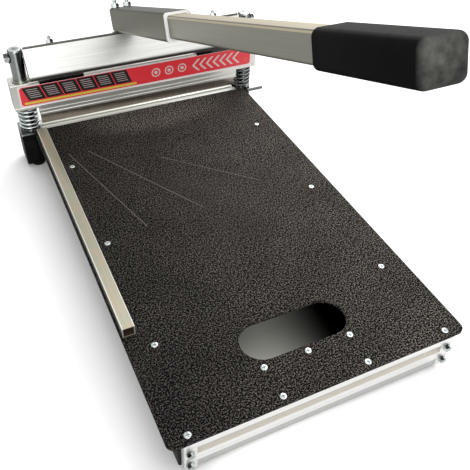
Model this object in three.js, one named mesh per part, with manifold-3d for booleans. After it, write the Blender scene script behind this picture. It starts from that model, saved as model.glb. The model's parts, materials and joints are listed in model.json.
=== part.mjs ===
// A bench laminate cutter: a lever shear with a guided upper beam and a long telescoping handle.
// Millimetres. X runs across the cut, +Y towards the back, +Z up.
// The origin is the middle of the anvil's top face, on the level of the table top.
import * as THREE from "three";
import { mergeVertices } from "three/addons/utils/BufferGeometryUtils.js";
import Module from "manifold-3d";

const wasm = await Module();
wasm.setup();

// Clearances
const SEAT = 0.3; // between two faces that rest on each other
const SLIP = 0.3; // round a pin, a screw or a post in its hole
const BLADE_GAP = 0.4; // from the blade's face to the anvil's shearing edge
const CAM_GAP = 0.3; // from the cam nose to the pads at rest
const WASHER = 1.2; // thickness of every washer
const OVERLAP = 1; // how far one solid runs into another that it is joined to

// Table board
const BOARD_WIDTH = 390;
const BOARD_LENGTH = 625.9;
const BOARD_THICKNESS = 4;
const BOARD_CORNER = 10;
const HAND_HOLE_LENGTH = 143;
const HAND_HOLE_WIDTH = 54.6;
const HAND_HOLE_BEHIND_FLANGE = 2.5;

// Countersunk board screws
const SCREW_HEAD_RADIUS = 4.25;
const SCREW_HEAD_RISE = 0.6;
const SCREW_SHANK_RADIUS = 2;
const SCREW_LENGTH = 12;
const SCREW_DOME = { inset: 0.85, rise: 0.4 }; // the head's rim inside its edge, and its height
const RAIL_SCREW_INSET = 33; // from the board's edge
const RAIL_SCREW_SHARES = [0.1925, 0.4924, 0.7894]; // of the board's length, from its rear
const FRONT_SCREW_INNER = 56.5;
const FRONT_SCREW_INSET = 7.7; // from the crossbar's end
const FRONT_SCREWS_FROM_FRONT = 9.7;
const FLANGE_SCREW_X = 58.6;
const FLANGE_SCREW_INSET = 5.3; // from the flange's rear edge

// Anvil extrusion under the blade
const ANVIL_FRONT_LIP = 4.2; // from the origin forward to the board
const ANVIL_EDGE = 4.5; // from the origin back to the shearing edge
const ANVIL_INSET = 14.8; // from the board's edge to the anvil's end
const ANVIL_WALL = 4;
const ANVIL_LEDGE = 15.8;
const ANVIL_GROOVE_WIDTH = 8.5;
const ANVIL_GROOVE_DEPTH = 12;
const ANVIL_REAR = 29;
const ANVIL_REAR_DROP = 2.5;
const ANVIL_HEIGHT = 57.7;

// Legs and feet
const LEG_BELOW_ANVIL = 2.3;
const LEG_SIDE_GROOVES = 3;
const LEG_GROOVE_PITCH = 3;
const LEG_GROOVE_WIDTH = 1.2;
const LEG_GROOVE_DEPTH = 0.8;
const LEG_BEHIND_ANVIL = 2;
const LEFT_LEG_FORWARD = 5.7; // in front of the board's rear edge
const LEFT_LEG_OUTSIDE = 18.8; // from the post's axis to the leg's outer face
const LEFT_LEG_ROUNDING = 1.5;
const RIGHT_LEG_OUTSIDE = 16.8;
const RIGHT_LEG_ROUNDING = 14;
const LEG_REAR_ROUNDING = 1.5;
const FOOT_RADIUS = 11;
const FOOT_HEIGHT = 5.7;
const FOOT_BEVEL = 1;
const FOOT_TOP_BEVEL = 0.6;
const FOOT_PIN_RADIUS = 3;
const FOOT_PIN_LENGTH = 5;
const REAR_FOOT_Y = -0.5;
const FRONT_FOOT_FROM_FRONT = 24.4;
const FRONT_LEG_INSIDE = 28; // from the crossbar's end inwards
const FRONT_LEG_OUTSIDE = 3; // from the crossbar's end outwards
const FRONT_LEG_DEPTH = 34;
const FRONT_LEG_ROUNDING = 2;

// Posts, their seats and the springs round them
const POST_BESIDE_BOARD = 2.2; // from the board's edge to the post's axis
const POST_Y = 11.9;
const POST_RADIUS = 11;
const POST_ABOVE_PIVOT = 13.3;
const POST_BEVEL = 2;
const POST_SUNK = 38;
const SEAT_PLATE = 2.5;
const LEFT_SEAT_FORWARD = 1.8; // in front of the leg
const SPRING_ROOM = 2.25; // between the post and the wire
const SPRING_WIRE = 3.5;
const SPRING_CLOSED_PITCH = 4;
const SPRING_CLOSED_TURNS = 1;
const SPRING_TURNS = 5.75;
const SPRING_STEPS = 8;
const SPRING_SIDES = 5;

// Front crossbar extrusion with its two end blocks
const CROSSBAR_INSET = 17; // from the board's edge to the crossbar's end
const CROSSBAR_FLANGE = 57;
const CROSSBAR_WALL = 4;
const CROSSBAR_WEB = 10;
const CROSSBAR_GROOVE = 5;
const CROSSBAR_ABOVE_LEG = 4; // from the bottom of the legs to its lower edge
const CROSSBAR_UPPER_BAND = 10.2;
const CROSSBAR_LOWER_BAND = 13.6;
const CROSSBAR_LOWER_RECESS = 14.5;
const CROSSBAR_END_BLOCK = 15;
const CROSSBAR_BOLT_INSET = 6.4; // from the crossbar's end
const CROSSBAR_BOLT_HEIGHTS = [34.5, 10.5]; // above the crossbar's lower edge
const CROSSBAR_BOLT_RADIUS = 2.5;
const CROSSBAR_BOLT_FLATS = 8;
const CROSSBAR_BOLT_HEAD = 5;
const CROSSBAR_BOLT_REACH = 14;

// Side rails and fence
const RAIL_WIDTH = 26;
const RAIL_HEIGHT = 18;
const RAIL_WALL = 2;
const FENCE_WIDTH = 15.8;
const FENCE_HEIGHT = 15.6;
const FENCE_WALL = 1.5;
const FENCE_FROM_EDGE = 2.2;
const FENCE_LENGTH = 449;
const FENCE_REAR = -26;

// Side rod by the right rear corner of the board
const ROD_RADIUS = 3.1;
const ROD_Y = -10.5;
const ROD_Z = -3;
const ROD_REACH = 37; // past the board's edge
const ROD_BEVEL = 0.8;
const ROD_LUG = 4;
const ROD_LUG_MARGIN = 3;
const ROD_LUG_RISE = 1.5; // above the rod
const ROD_LUG_DROP = 9; // below the rod
const ROD_LUG_ROUNDING = 4;
const ROD_LUG_FROM_SPRING = 1.5; // in front of the board's rear edge
const ROD_LUG_FROM_POST = 2;

// Upper beam, blade and pads
const BEAM_PAST_POST = 19.3;
const BEAM_FRONT = -5.4;
const BEAM_REAR = 26.6;
const BEAM_BOTTOM = 40.7;
const BEAM_HEIGHT = 45.7;
const BEAM_CHAMFER = 1;
const LIP_DROP = 14.9; // below the beam
const LIP_FRONT = -3.9;
const LIP_INSET = 1.2; // from the anvil's end
const LIP_RIDGES = [
  // depth behind the lip's face and height above its lower edge, corner by corner
  [0, 3],
  [1, 3.6],
  [1, 7.2],
  [0, 8],
  [0, 9.2],
  [0.8, 9.8],
];
const LIP_SLOPE = 0.8; // rise of the beam's lower front corner
const LABEL_ABOVE_BOTTOM = 4.6;
const LABEL_BELOW_TOP = 1.9;
const LABEL_RECESS = 0.5;
const BLADE_THICKNESS = 5;
const BLADE_INSET = 1.3; // from the lip's end
const BLADE_BELOW_BEAM = 35.2;
const BLADE_WITHIN_BEAM = 13.3;
const BLADE_BEVEL = 4;
const BLADE_SCREW_INSET = 57.7; // from the blade's end to the outer screws
const BLADE_SCREW_ABOVE_BOTTOM = 7.3;
const BLADE_SCREW_RADIUS = 3;
const BLADE_SCREW_HEAD_RADIUS = 5;
const BLADE_SCREW_HEAD = 6;
const BLADE_SCREW_KEY = 5;
const PAD_INSET = 7.4; // from the lip's end
const PAD_LENGTH = 72.1;
const PAD_FRONT = -5.9;
const PAD_BELOW_TOP = 4.4; // from the beam's top down to the pad's notch
const PAD_DEPTH = 13.6;
const PAD_ABOVE_BEAM = 3.6;
const PAD_ROUNDING = 2.5;
const PAD_REAR_ROUNDING = 1;
const BUSHING_WALL = 1.2;
const BUSHING_LIP = 1.1; // how far the flange stands out
const BUSHING_FLANGE = 2;
const BUSHING_BEVEL = 0.6;

// Cam bar, turning on the two pivot bolts
const PIVOT_RADIUS = 5;
const PIVOT_WASHER_RADIUS = 8.5;
const PIVOT_FLATS = 13.6;
const PIVOT_HEAD = 6.5;
const PIVOT_REACH = 20;
const CAM_THROW = 33.7; // from the pivot to the middle of the nose
const CAM_THICKNESS = 15;
const CAM_ABOVE_PIVOT = 8;
const CAM_TILT = 33; // degrees that the bar leans back from upright
const STRIP_THICKNESS = 3;
const STRIP_DROP = 22;
const STRIP_INSET = 1.9; // from the bar's end
const STRIP_BOLT_INSET = 43.2; // from the strip's end
const STRIP_BOLT_RADIUS = 3;
const STRIP_BOLT_SUNK = 14;
const STRIP_NUT = { flats: 10, height: 5 };
const STUD_TIP = 5.5;
const STUD_BEVEL = 0.8;
const WASHER_TO_FLATS = 0.62; // a washer's radius as a share of the nut's flats

// Handle, in its own frame: it runs forward and up from the back of the socket
const HANDLE_X = -17;
const HANDLE_PITCH = 20.7; // degrees above level
const SOCKET_WIDTH = 37;
const SOCKET_HEIGHT = 36;
const SOCKET_WALL = 2;
const SOCKET_ROUNDING = 4;
const SOCKET_LENGTH = 274;
const SOCKET_OVERHANG = 15.3; // from its back end to the strip's front corner
const SOCKET_CHAMFER = 4;
const SOCKET_BOLT_X = 10;
const SOCKET_BOLT_FROM_REAR = 9.5;
const SOCKET_BOLT_RADIUS = 3.5;
const SOCKET_BOLT_SUNK = 18;
const SOCKET_NUT = { flats: 11, height: 5.5 };
const SADDLE_WALL = 4;
const SADDLE_NOSE = 6;
const LINER_DEPTH = 55;
const LINER_FLANGE = 2;
const LINER_FLANGE_INSET = 0.2;
const TUBE_SIDE_ROOM = 4.5; // between the outsides of the two tubes
const TUBE_TOP_ROOM = 4;
const TUBE_WALL = 1.5;
const TUBE_ROUNDING = 3.5;
const TUBE_INSERTED = 60;
const TUBE_SHOWN = 353;
const LEAST_ROUNDING = 0.5;
const GRIP_LENGTH = 127;
const GRIP_SIDE_WALL = 5.5;
const GRIP_TOP_WALL = 2.5;
const GRIP_ROUNDING = 7;
const GRIP_LEAST_ROUNDING = 2;
const GRIP_END_WALL = 6;
const GRIP_END_CURVE = 7;
const GRIP_END_PART = 0.85; // share of a quarter circle that the end curve covers
const GRIP_END_STEPS = 4;
const GRIP_MOUTH = [
  // inset of the outline and depth from the grip's near end
  [1.5, 0],
  [0.4, 0.6],
  [0, 2],
];

// Round faces: how many sides each kind of round piece has
const POST_SIDES = 24;
const SCREW_SIDES = 10;
const WASHER_SIDES = 16;
const ARC_STEPS = 5;
const THROUGH = 20; // how far a cutting solid runs past the faces that it cuts

// Places across the cut, all from the board's width
const BESIDE_BOARD = BOARD_WIDTH / 2 + SEAT;
const RAIL_SCREW_X = BOARD_WIDTH / 2 - RAIL_SCREW_INSET;
const FENCE_LEFT = -BOARD_WIDTH / 2 + FENCE_FROM_EDGE;
const ROD_END = BOARD_WIDTH / 2 + ROD_REACH;
const ANVIL_HALF_WIDTH = BOARD_WIDTH / 2 - ANVIL_INSET;
const LEG_INNER = ANVIL_HALF_WIDTH + SEAT;
const POST_X = BOARD_WIDTH / 2 + POST_BESIDE_BOARD;
const BEAM_HALF_WIDTH = POST_X + BEAM_PAST_POST;
const LIP_HALF_WIDTH = ANVIL_HALF_WIDTH - LIP_INSET;
const BLADE_HALF_WIDTH = LIP_HALF_WIDTH - BLADE_INSET;
const BLADE_SCREW_SPACING = BLADE_HALF_WIDTH - BLADE_SCREW_INSET;
const BLADE_SCREW_X = [-BLADE_SCREW_SPACING, 0, BLADE_SCREW_SPACING];
const PAD_INNER_X = LIP_HALF_WIDTH - PAD_INSET - PAD_LENGTH;
const CAM_HALF_WIDTH = POST_X - POST_RADIUS - SEAT;
const STRIP_HALF_LENGTH = CAM_HALF_WIDTH - STRIP_INSET;
const STRIP_BOLT_X = STRIP_HALF_LENGTH - STRIP_BOLT_INSET;
const CROSSBAR_HALF_WIDTH = BOARD_WIDTH / 2 - CROSSBAR_INSET;
const CROSSBAR_BOLT_X = CROSSBAR_HALF_WIDTH - CROSSBAR_BOLT_INSET;
const FRONT_SCREW_X = [FRONT_SCREW_INNER, CROSSBAR_HALF_WIDTH - FRONT_SCREW_INSET];
const FRONT_LEG_INNER = CROSSBAR_HALF_WIDTH - FRONT_LEG_INSIDE;
const FRONT_LEG_OUTER = CROSSBAR_HALF_WIDTH + FRONT_LEG_OUTSIDE;
const FRONT_FOOT_X = (FRONT_LEG_INNER + FRONT_LEG_OUTER) / 2;

// Places along the table
const BOARD_REAR = -ANVIL_FRONT_LIP - SEAT;
const BOARD_FRONT = BOARD_REAR - BOARD_LENGTH;
const HAND_HOLE_Y = BOARD_FRONT + CROSSBAR_FLANGE + HAND_HOLE_BEHIND_FLANGE + HAND_HOLE_WIDTH / 2;
const FLANGE_SCREWS_Y = BOARD_FRONT + CROSSBAR_FLANGE - FLANGE_SCREW_INSET;
const FRONT_FOOT_Y = BOARD_FRONT + FRONT_FOOT_FROM_FRONT;
const REAR_LEG_REAR = ANVIL_REAR + LEG_BEHIND_ANVIL;
const LEFT_LEG_FRONT = BOARD_REAR - LEFT_LEG_FORWARD;
const LEFT_SEAT_FRONT = LEFT_LEG_FRONT - LEFT_SEAT_FORWARD;
const BLADE_FRONT = ANVIL_EDGE + BLADE_GAP;
const BLADE_REAR = BLADE_FRONT + BLADE_THICKNESS;

// Heights
const UNDER_BOARD = -BOARD_THICKNESS - SEAT;
const LEG_TOP = -SEAT_PLATE - SEAT;
const LEG_BOTTOM = -ANVIL_HEIGHT - LEG_BELOW_ANVIL;
const CROSSBAR_BOTTOM = LEG_BOTTOM + CROSSBAR_ABOVE_LEG;
const CROSSBAR_BOLT_Z = CROSSBAR_BOLT_HEIGHTS.map((height) => CROSSBAR_BOTTOM + height);
const BEAM_TOP = BEAM_BOTTOM + BEAM_HEIGHT;
const LIP_BOTTOM = BEAM_BOTTOM - LIP_DROP;
const LABEL_BOTTOM = BEAM_BOTTOM + LABEL_ABOVE_BOTTOM;
const LABEL_TOP = BEAM_TOP - LABEL_BELOW_TOP;
const PAD_SEAT = BEAM_TOP - PAD_BELOW_TOP;
const BLADE_EDGE = BEAM_BOTTOM - BLADE_BELOW_BEAM;
const BLADE_TOP = BEAM_BOTTOM + BLADE_WITHIN_BEAM;
const BLADE_SCREW_Z = BEAM_BOTTOM + BLADE_SCREW_ABOVE_BOTTOM;
const PAD_TOP = BEAM_TOP + PAD_ABOVE_BEAM;

// Sizes of round and nested pieces
const SPRING_RADIUS = POST_RADIUS + SPRING_ROOM + SPRING_WIRE / 2;
const BUSHING_INNER_RADIUS = POST_RADIUS + SLIP;
const BUSHING_OUTER_RADIUS = BUSHING_INNER_RADIUS + BUSHING_WALL;
const BUSHING_FLANGE_RADIUS = BUSHING_OUTER_RADIUS + BUSHING_LIP;
const STRIP_SEAT = CAM_ABOVE_PIVOT + SEAT;
const STRIP_TOP = STRIP_SEAT + STRIP_THICKNESS;
const STRIP_REAR = CAM_THICKNESS / 2 + SEAT + STRIP_THICKNESS;
const TUBE_WIDTH = SOCKET_WIDTH - 2 * TUBE_SIDE_ROOM;
const TUBE_HEIGHT = SOCKET_HEIGHT - 2 * TUBE_TOP_ROOM;
const GRIP_FROM_REAR = SOCKET_LENGTH + TUBE_SHOWN;
const GRIP_WIDTH = TUBE_WIDTH + 2 * GRIP_SIDE_WALL;
const GRIP_HEIGHT = TUBE_HEIGHT + 2 * GRIP_TOP_WALL;

// The rear legs differ: the left one has square edges and reaches forward beside the board.
const LEFT_LEG = {
  side: -1,
  front: LEFT_LEG_FRONT,
  outer: POST_X + LEFT_LEG_OUTSIDE,
  rounding: LEFT_LEG_ROUNDING,
};
const RIGHT_LEG = {
  side: 1,
  front: -ANVIL_FRONT_LIP,
  outer: POST_X + RIGHT_LEG_OUTSIDE,
  rounding: RIGHT_LEG_ROUNDING,
};

const radians = THREE.MathUtils.degToRad;

// The pivot stands where the nose, at its rest angle, just clears the pads.
const NOSE_Z = PAD_TOP + CAM_GAP + CAM_THICKNESS / 2;
const PIVOT_Z = NOSE_Z + CAM_THROW * Math.cos(radians(CAM_TILT));
const POST_TOP = PIVOT_Z + POST_ABOVE_PIVOT;

// Closed solids from three.js geometries, and their joins and cuts

function solid(geometry) {
  const bare = geometry.clone();
  bare.deleteAttribute("normal");
  bare.deleteAttribute("uv");
  const merged = mergeVertices(bare, 1e-4);
  const vertProperties = new Float32Array(merged.attributes.position.array);
  const triVerts = new Uint32Array(merged.index.array);
  return new wasm.Manifold(new wasm.Mesh({ numProp: 3, vertProperties, triVerts }));
}

function surface(manifold) {
  const mesh = manifold.getMesh();
  const geometry = new THREE.BufferGeometry();
  geometry.setAttribute("position", new THREE.BufferAttribute(mesh.vertProperties, 3));
  geometry.setIndex(new THREE.BufferAttribute(mesh.triVerts, 1));
  return geometry;
}

function cut(body, ...tools) {
  const left = tools.reduce((rest, tool) => rest.subtract(solid(tool)), solid(body));
  return surface(left);
}

function join(...bodies) {
  const whole = bodies.slice(1).reduce((sum, part) => sum.add(solid(part)), solid(bodies[0]));
  return surface(whole);
}

// Outlines

function polygon(points) {
  return new THREE.Shape(points.map(([a, b]) => new THREE.Vector2(a, b)));
}

function rectangle(left, bottom, right, top) {
  return polygon([
    [left, bottom],
    [right, bottom],
    [right, top],
    [left, top],
  ]);
}

// A rectangle with its four corners rounded, each by its own radius, from the lower left one round.
function roundedRectangle(left, bottom, right, top, radii) {
  const [lowerLeft, lowerRight, upperRight, upperLeft] = radii;
  const shape = new THREE.Shape();
  shape.moveTo(left + lowerLeft, bottom);
  shape.lineTo(right - lowerRight, bottom);
  if (lowerRight) shape.absarc(right - lowerRight, bottom + lowerRight, lowerRight, -Math.PI / 2, 0);
  shape.lineTo(right, top - upperRight);
  if (upperRight) shape.absarc(right - upperRight, top - upperRight, upperRight, 0, Math.PI / 2);
  shape.lineTo(left + upperLeft, top);
  if (upperLeft) shape.absarc(left + upperLeft, top - upperLeft, upperLeft, Math.PI / 2, Math.PI);
  shape.lineTo(left, bottom + lowerLeft);
  if (lowerLeft) shape.absarc(left + lowerLeft, bottom + lowerLeft, lowerLeft, Math.PI, Math.PI * 1.5);
  return shape;
}

function centredRectangle(width, height, radius) {
  return roundedRectangle(-width / 2, -height / 2, width / 2, height / 2, [radius, radius, radius, radius]);
}

// Prisms along each axis: the outline's two coordinates are the other two axes, in order.

function prism(shape, length, basis, start) {
  const geometry = new THREE.ExtrudeGeometry(shape, {
    depth: length,
    bevelEnabled: false,
    curveSegments: ARC_STEPS,
  });
  return geometry.applyMatrix4(basis).translate(...start);
}

function alongX(shape, from, to) {
  const basis = new THREE.Matrix4().makeBasis(
    new THREE.Vector3(0, 1, 0),
    new THREE.Vector3(0, 0, 1),
    new THREE.Vector3(1, 0, 0),
  );
  return prism(shape, to - from, basis, [from, 0, 0]);
}

function alongY(shape, from, to) {
  const basis = new THREE.Matrix4().makeBasis(
    new THREE.Vector3(1, 0, 0),
    new THREE.Vector3(0, 0, 1),
    new THREE.Vector3(0, -1, 0),
  );
  return prism(shape, to - from, basis, [0, to, 0]);
}

function alongZ(shape, from, to) {
  return prism(shape, to - from, new THREE.Matrix4(), [0, 0, from]);
}

// Round pieces. A turned profile lists [radius, height] from the axis out and back to it.
// three.js turns a profile about Y, so a rotation about X stands the piece on Z.
function turned(profile, sides) {
  const points = profile.map(([radius, height]) => new THREE.Vector2(radius, height));
  return new THREE.LatheGeometry(points, sides).rotateX(Math.PI / 2);
}

function rod(radius, from, to, sides) {
  return turned(
    [
      [0, from],
      [radius, from],
      [radius, to],
      [0, to],
    ],
    sides,
  );
}

function hexagon(flats, from, to) {
  return rod(flats / 2 / Math.cos(Math.PI / 6), from, to, 6);
}

// A piece made along Z is laid along X or Y.
function laidAlongX(geometry) {
  return geometry.rotateY(Math.PI / 2);
}

function laidAlongY(geometry) {
  return geometry.rotateX(-Math.PI / 2);
}

// Table

function screwPlaces() {
  const places = [];
  for (const side of [-1, 1]) {
    for (const share of RAIL_SCREW_SHARES) {
      places.push([side * RAIL_SCREW_X, BOARD_REAR - share * BOARD_LENGTH]);
    }
    for (const x of FRONT_SCREW_X) places.push([side * x, BOARD_FRONT + FRONT_SCREWS_FROM_FRONT]);
    places.push([side * FLANGE_SCREW_X, FLANGE_SCREWS_Y]);
  }
  places.push([0, FLANGE_SCREWS_Y]);
  return places;
}

function boardScrew() {
  const head = SCREW_HEAD_RADIUS;
  const shank = SCREW_SHANK_RADIUS;
  return turned(
    [
      [0, -SCREW_LENGTH],
      [shank, -SCREW_LENGTH],
      [shank, shank - head],
      [head, 0],
      [head - SCREW_DOME.inset, SCREW_DOME.rise],
      [0, SCREW_HEAD_RISE],
    ],
    SCREW_SIDES,
  );
}

// The countersunk hole that a board screw sits in, as a solid to cut with.
function screwHole() {
  const head = SCREW_HEAD_RADIUS + SLIP * Math.SQRT2;
  const shank = SCREW_SHANK_RADIUS + SLIP;
  const bottom = -SCREW_LENGTH - SLIP;
  return turned(
    [
      [0, bottom],
      [shank, bottom],
      [shank, shank - head],
      [head + OVERLAP, OVERLAP],
      [0, OVERLAP],
    ],
    SCREW_SIDES,
  );
}

function screwHolesWithin(left, front, right, rear) {
  return screwPlaces()
    .filter(([x, y]) => x > left && x < right && y > front && y < rear)
    .map(([x, y]) => screwHole().translate(x, y, 0));
}

function tableBoard() {
  const half = BOARD_WIDTH / 2;
  const corners = [BOARD_CORNER, BOARD_CORNER, 0, 0];
  const outline = roundedRectangle(-half, BOARD_FRONT, half, BOARD_REAR, corners);
  const end = HAND_HOLE_WIDTH / 2;
  const straight = HAND_HOLE_LENGTH / 2 - end;
  const hole = new THREE.Path();
  hole.absarc(straight, HAND_HOLE_Y, end, -Math.PI / 2, Math.PI / 2);
  hole.absarc(-straight, HAND_HOLE_Y, end, Math.PI / 2, Math.PI * 1.5);
  outline.holes.push(hole);
  const board = alongZ(outline, -BOARD_THICKNESS, 0);
  return cut(board, ...screwHolesWithin(-half, BOARD_FRONT, half, BOARD_REAR));
}

function sideRail(side) {
  const inner = RAIL_SCREW_X - RAIL_WIDTH / 2;
  const outer = RAIL_SCREW_X + RAIL_WIDTH / 2;
  const bottom = UNDER_BOARD - RAIL_HEIGHT;
  const roof = UNDER_BOARD - RAIL_WALL;
  const channel = polygon([
    [inner, bottom],
    [inner + RAIL_WALL, bottom],
    [inner + RAIL_WALL, roof],
    [outer - RAIL_WALL, roof],
    [outer - RAIL_WALL, bottom],
    [outer, bottom],
    [outer, UNDER_BOARD],
    [inner, UNDER_BOARD],
  ]);
  const front = BOARD_FRONT + CROSSBAR_FLANGE + SEAT;
  const rear = BOARD_REAR - ANVIL_LEDGE;
  const rail = alongY(channel, front, rear);
  const holes = screwHolesWithin(inner, front, outer, rear);
  const rightHand = cut(rail, ...holes);
  return side > 0 ? rightHand : mirrored(rightHand);
}

// The same piece for the other side of the YZ plane.
function mirrored(geometry) {
  const flat = solid(geometry).mirror([1, 0, 0]);
  return surface(flat);
}

function fence() {
  const right = FENCE_LEFT + FENCE_WIDTH;
  const outline = rectangle(FENCE_LEFT, SEAT, right, SEAT + FENCE_HEIGHT);
  const bore = rectangle(
    FENCE_LEFT + FENCE_WALL,
    SEAT + FENCE_WALL,
    right - FENCE_WALL,
    SEAT + FENCE_HEIGHT - FENCE_WALL,
  );
  outline.holes.push(bore);
  return alongY(outline, FENCE_REAR - FENCE_LENGTH, FENCE_REAR);
}

// Anvil: an extrusion whose top front edge shears against the blade, open below.
function baseAnvil() {
  const front = -ANVIL_FRONT_LIP;
  const rear = ANVIL_REAR;
  const floor = -ANVIL_HEIGHT;
  const roof = -ANVIL_GROOVE_DEPTH - ANVIL_WALL;
  const grooveRear = ANVIL_EDGE + ANVIL_GROOVE_WIDTH;
  const outline = polygon([
    [front - ANVIL_LEDGE, UNDER_BOARD],
    [front, UNDER_BOARD],
    [front, 0],
    [ANVIL_EDGE, 0],
    [ANVIL_EDGE, -ANVIL_GROOVE_DEPTH],
    [grooveRear, -ANVIL_GROOVE_DEPTH],
    [grooveRear, -ANVIL_REAR_DROP],
    [rear, -ANVIL_REAR_DROP],
    [rear, floor],
    [rear - ANVIL_WALL, floor],
    [rear - ANVIL_WALL, roof],
    [front + ANVIL_WALL, roof],
    [front + ANVIL_WALL, floor],
    [front, floor],
    [front, UNDER_BOARD - ANVIL_WALL],
    [front - ANVIL_LEDGE, UNDER_BOARD - ANVIL_WALL],
  ]);
  return alongX(outline, -ANVIL_HALF_WIDTH, ANVIL_HALF_WIDTH);
}

// A rear leg from above. One that reaches further forward than the anvil does so beside the board.
function rearLegOutline({ front, outer, rounding }) {
  const shape = new THREE.Shape();
  shape.moveTo(LEG_INNER, -ANVIL_FRONT_LIP);
  if (front < -ANVIL_FRONT_LIP) {
    shape.lineTo(BESIDE_BOARD, -ANVIL_FRONT_LIP);
    shape.lineTo(BESIDE_BOARD, front);
  }
  shape.absarc(outer - rounding, front + rounding, rounding, -Math.PI / 2, 0);
  const rear = LEG_REAR_ROUNDING;
  shape.absarc(outer - rear, REAR_LEG_REAR - rear, rear, 0, Math.PI / 2);
  shape.lineTo(LEG_INNER, REAR_LEG_REAR);
  return shape;
}

// Rear legs, with a bore for the post, a pin hole for the foot and grooves across the front.
function rearLeg(sizes) {
  const { side, front, outer } = sizes;
  const leg = alongZ(rearLegOutline(sizes), LEG_BOTTOM, LEG_TOP);
  const grooves = [];
  for (let i = 1; i <= LEG_SIDE_GROOVES; i++) {
    const low = LEG_TOP - i * LEG_GROOVE_PITCH - LEG_GROOVE_WIDTH;
    const slot = rectangle(front - THROUGH, low, front + LEG_GROOVE_DEPTH, low + LEG_GROOVE_WIDTH);
    grooves.push(alongX(slot, LEG_INNER - THROUGH, outer + THROUGH));
  }
  const postBore = rod(POST_RADIUS + SLIP, LEG_TOP - POST_SUNK - SEAT, THROUGH, POST_SIDES);
  postBore.translate(POST_X, POST_Y, 0);
  const pinDepth = LEG_BOTTOM + FOOT_PIN_LENGTH + SEAT;
  const pinHole = rod(FOOT_PIN_RADIUS + SLIP, LEG_BOTTOM - THROUGH, pinDepth, SCREW_SIDES);
  pinHole.translate(POST_X, REAR_FOOT_Y, 0);
  const finished = cut(leg, ...grooves, postBore, pinHole);
  return side > 0 ? cut(join(finished, rodLug()), rodBore()) : mirrored(finished);
}

// The lug on the right leg that carries the side rod beside the board.
function rodLug() {
  const left = BESIDE_BOARD;
  const front = ROD_Y - ROD_RADIUS - ROD_LUG_MARGIN;
  const bottom = ROD_Z - ROD_RADIUS - ROD_LUG_DROP;
  const top = ROD_Z + ROD_RADIUS + ROD_LUG_RISE;
  const corners = [ROD_LUG_ROUNDING, 0, 0, ROD_LUG_ROUNDING];
  const rear = BOARD_REAR - ROD_LUG_FROM_SPRING;
  const lug = roundedRectangle(front, bottom, rear, top, corners);
  const webRear = POST_Y - POST_RADIUS - ROD_LUG_FROM_POST;
  const web = rectangle(rear - OVERLAP, bottom, webRear, LEG_TOP);
  return join(alongX(lug, left, left + ROD_LUG), alongX(web, left, left + ROD_LUG));
}

function rodBore() {
  const from = BESIDE_BOARD - OVERLAP;
  const to = BESIDE_BOARD + ROD_LUG + OVERLAP;
  const bore = rod(ROD_RADIUS + SLIP, from, to, SCREW_SIDES);
  return laidAlongX(bore).translate(0, ROD_Y, ROD_Z);
}

function sideRod() {
  const start = BESIDE_BOARD + SEAT;
  const bar = turned(
    [
      [0, start],
      [ROD_RADIUS, start],
      [ROD_RADIUS, ROD_END - ROD_BEVEL],
      [ROD_RADIUS - ROD_BEVEL, ROD_END],
      [0, ROD_END],
    ],
    SCREW_SIDES,
  );
  return laidAlongX(bar).translate(0, ROD_Y, ROD_Z);
}

function springSeat(leg, front) {
  const { side } = leg;
  const plate = alongZ(rearLegOutline({ ...leg, front }), -SEAT_PLATE, 0);
  const hole = rod(POST_RADIUS + SLIP, -THROUGH, THROUGH, POST_SIDES).translate(POST_X, POST_Y, 0);
  const finished = cut(plate, hole);
  return side > 0 ? finished : mirrored(finished);
}

function foot() {
  const top = LEG_BOTTOM - SEAT;
  const bottom = top - FOOT_HEIGHT;
  return turned(
    [
      [0, bottom],
      [FOOT_RADIUS - FOOT_BEVEL, bottom],
      [FOOT_RADIUS, bottom + FOOT_BEVEL],
      [FOOT_RADIUS, top - FOOT_TOP_BEVEL],
      [FOOT_RADIUS - FOOT_TOP_BEVEL, top],
      [FOOT_PIN_RADIUS, top],
      [FOOT_PIN_RADIUS, top + FOOT_PIN_LENGTH],
      [0, top + FOOT_PIN_LENGTH],
    ],
    WASHER_SIDES,
  );
}

// Posts stand in the rear legs and carry the pivot bolts near their tops.
function pivotBore(side) {
  const bore = laidAlongX(rod(PIVOT_RADIUS + SLIP, -THROUGH, THROUGH, SCREW_SIDES));
  return bore.translate(side * POST_X, POST_Y, PIVOT_Z);
}

function post(side) {
  const bottom = LEG_TOP - POST_SUNK;
  const bar = turned(
    [
      [0, bottom],
      [POST_RADIUS, bottom],
      [POST_RADIUS, POST_TOP - POST_BEVEL],
      [POST_RADIUS - POST_BEVEL, POST_TOP],
      [0, POST_TOP],
    ],
    POST_SIDES,
  ).translate(side * POST_X, POST_Y, 0);
  return cut(bar, pivotBore(side));
}

// A bolt along X with its head outside the post and its shank in the end of the cam bar.
function pivotBolt(side) {
  const seat = POST_X + POST_RADIUS + SEAT;
  const shank = rod(PIVOT_RADIUS, CAM_HALF_WIDTH - PIVOT_REACH, seat + OVERLAP, SCREW_SIDES);
  const washer = rod(PIVOT_WASHER_RADIUS, seat, seat + WASHER, WASHER_SIDES);
  const head = hexagon(PIVOT_FLATS, seat + OVERLAP, seat + PIVOT_HEAD);
  const bolt = laidAlongX(join(shank, washer, head)).translate(0, POST_Y, PIVOT_Z);
  return side > 0 ? bolt : mirrored(bolt);
}

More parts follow.
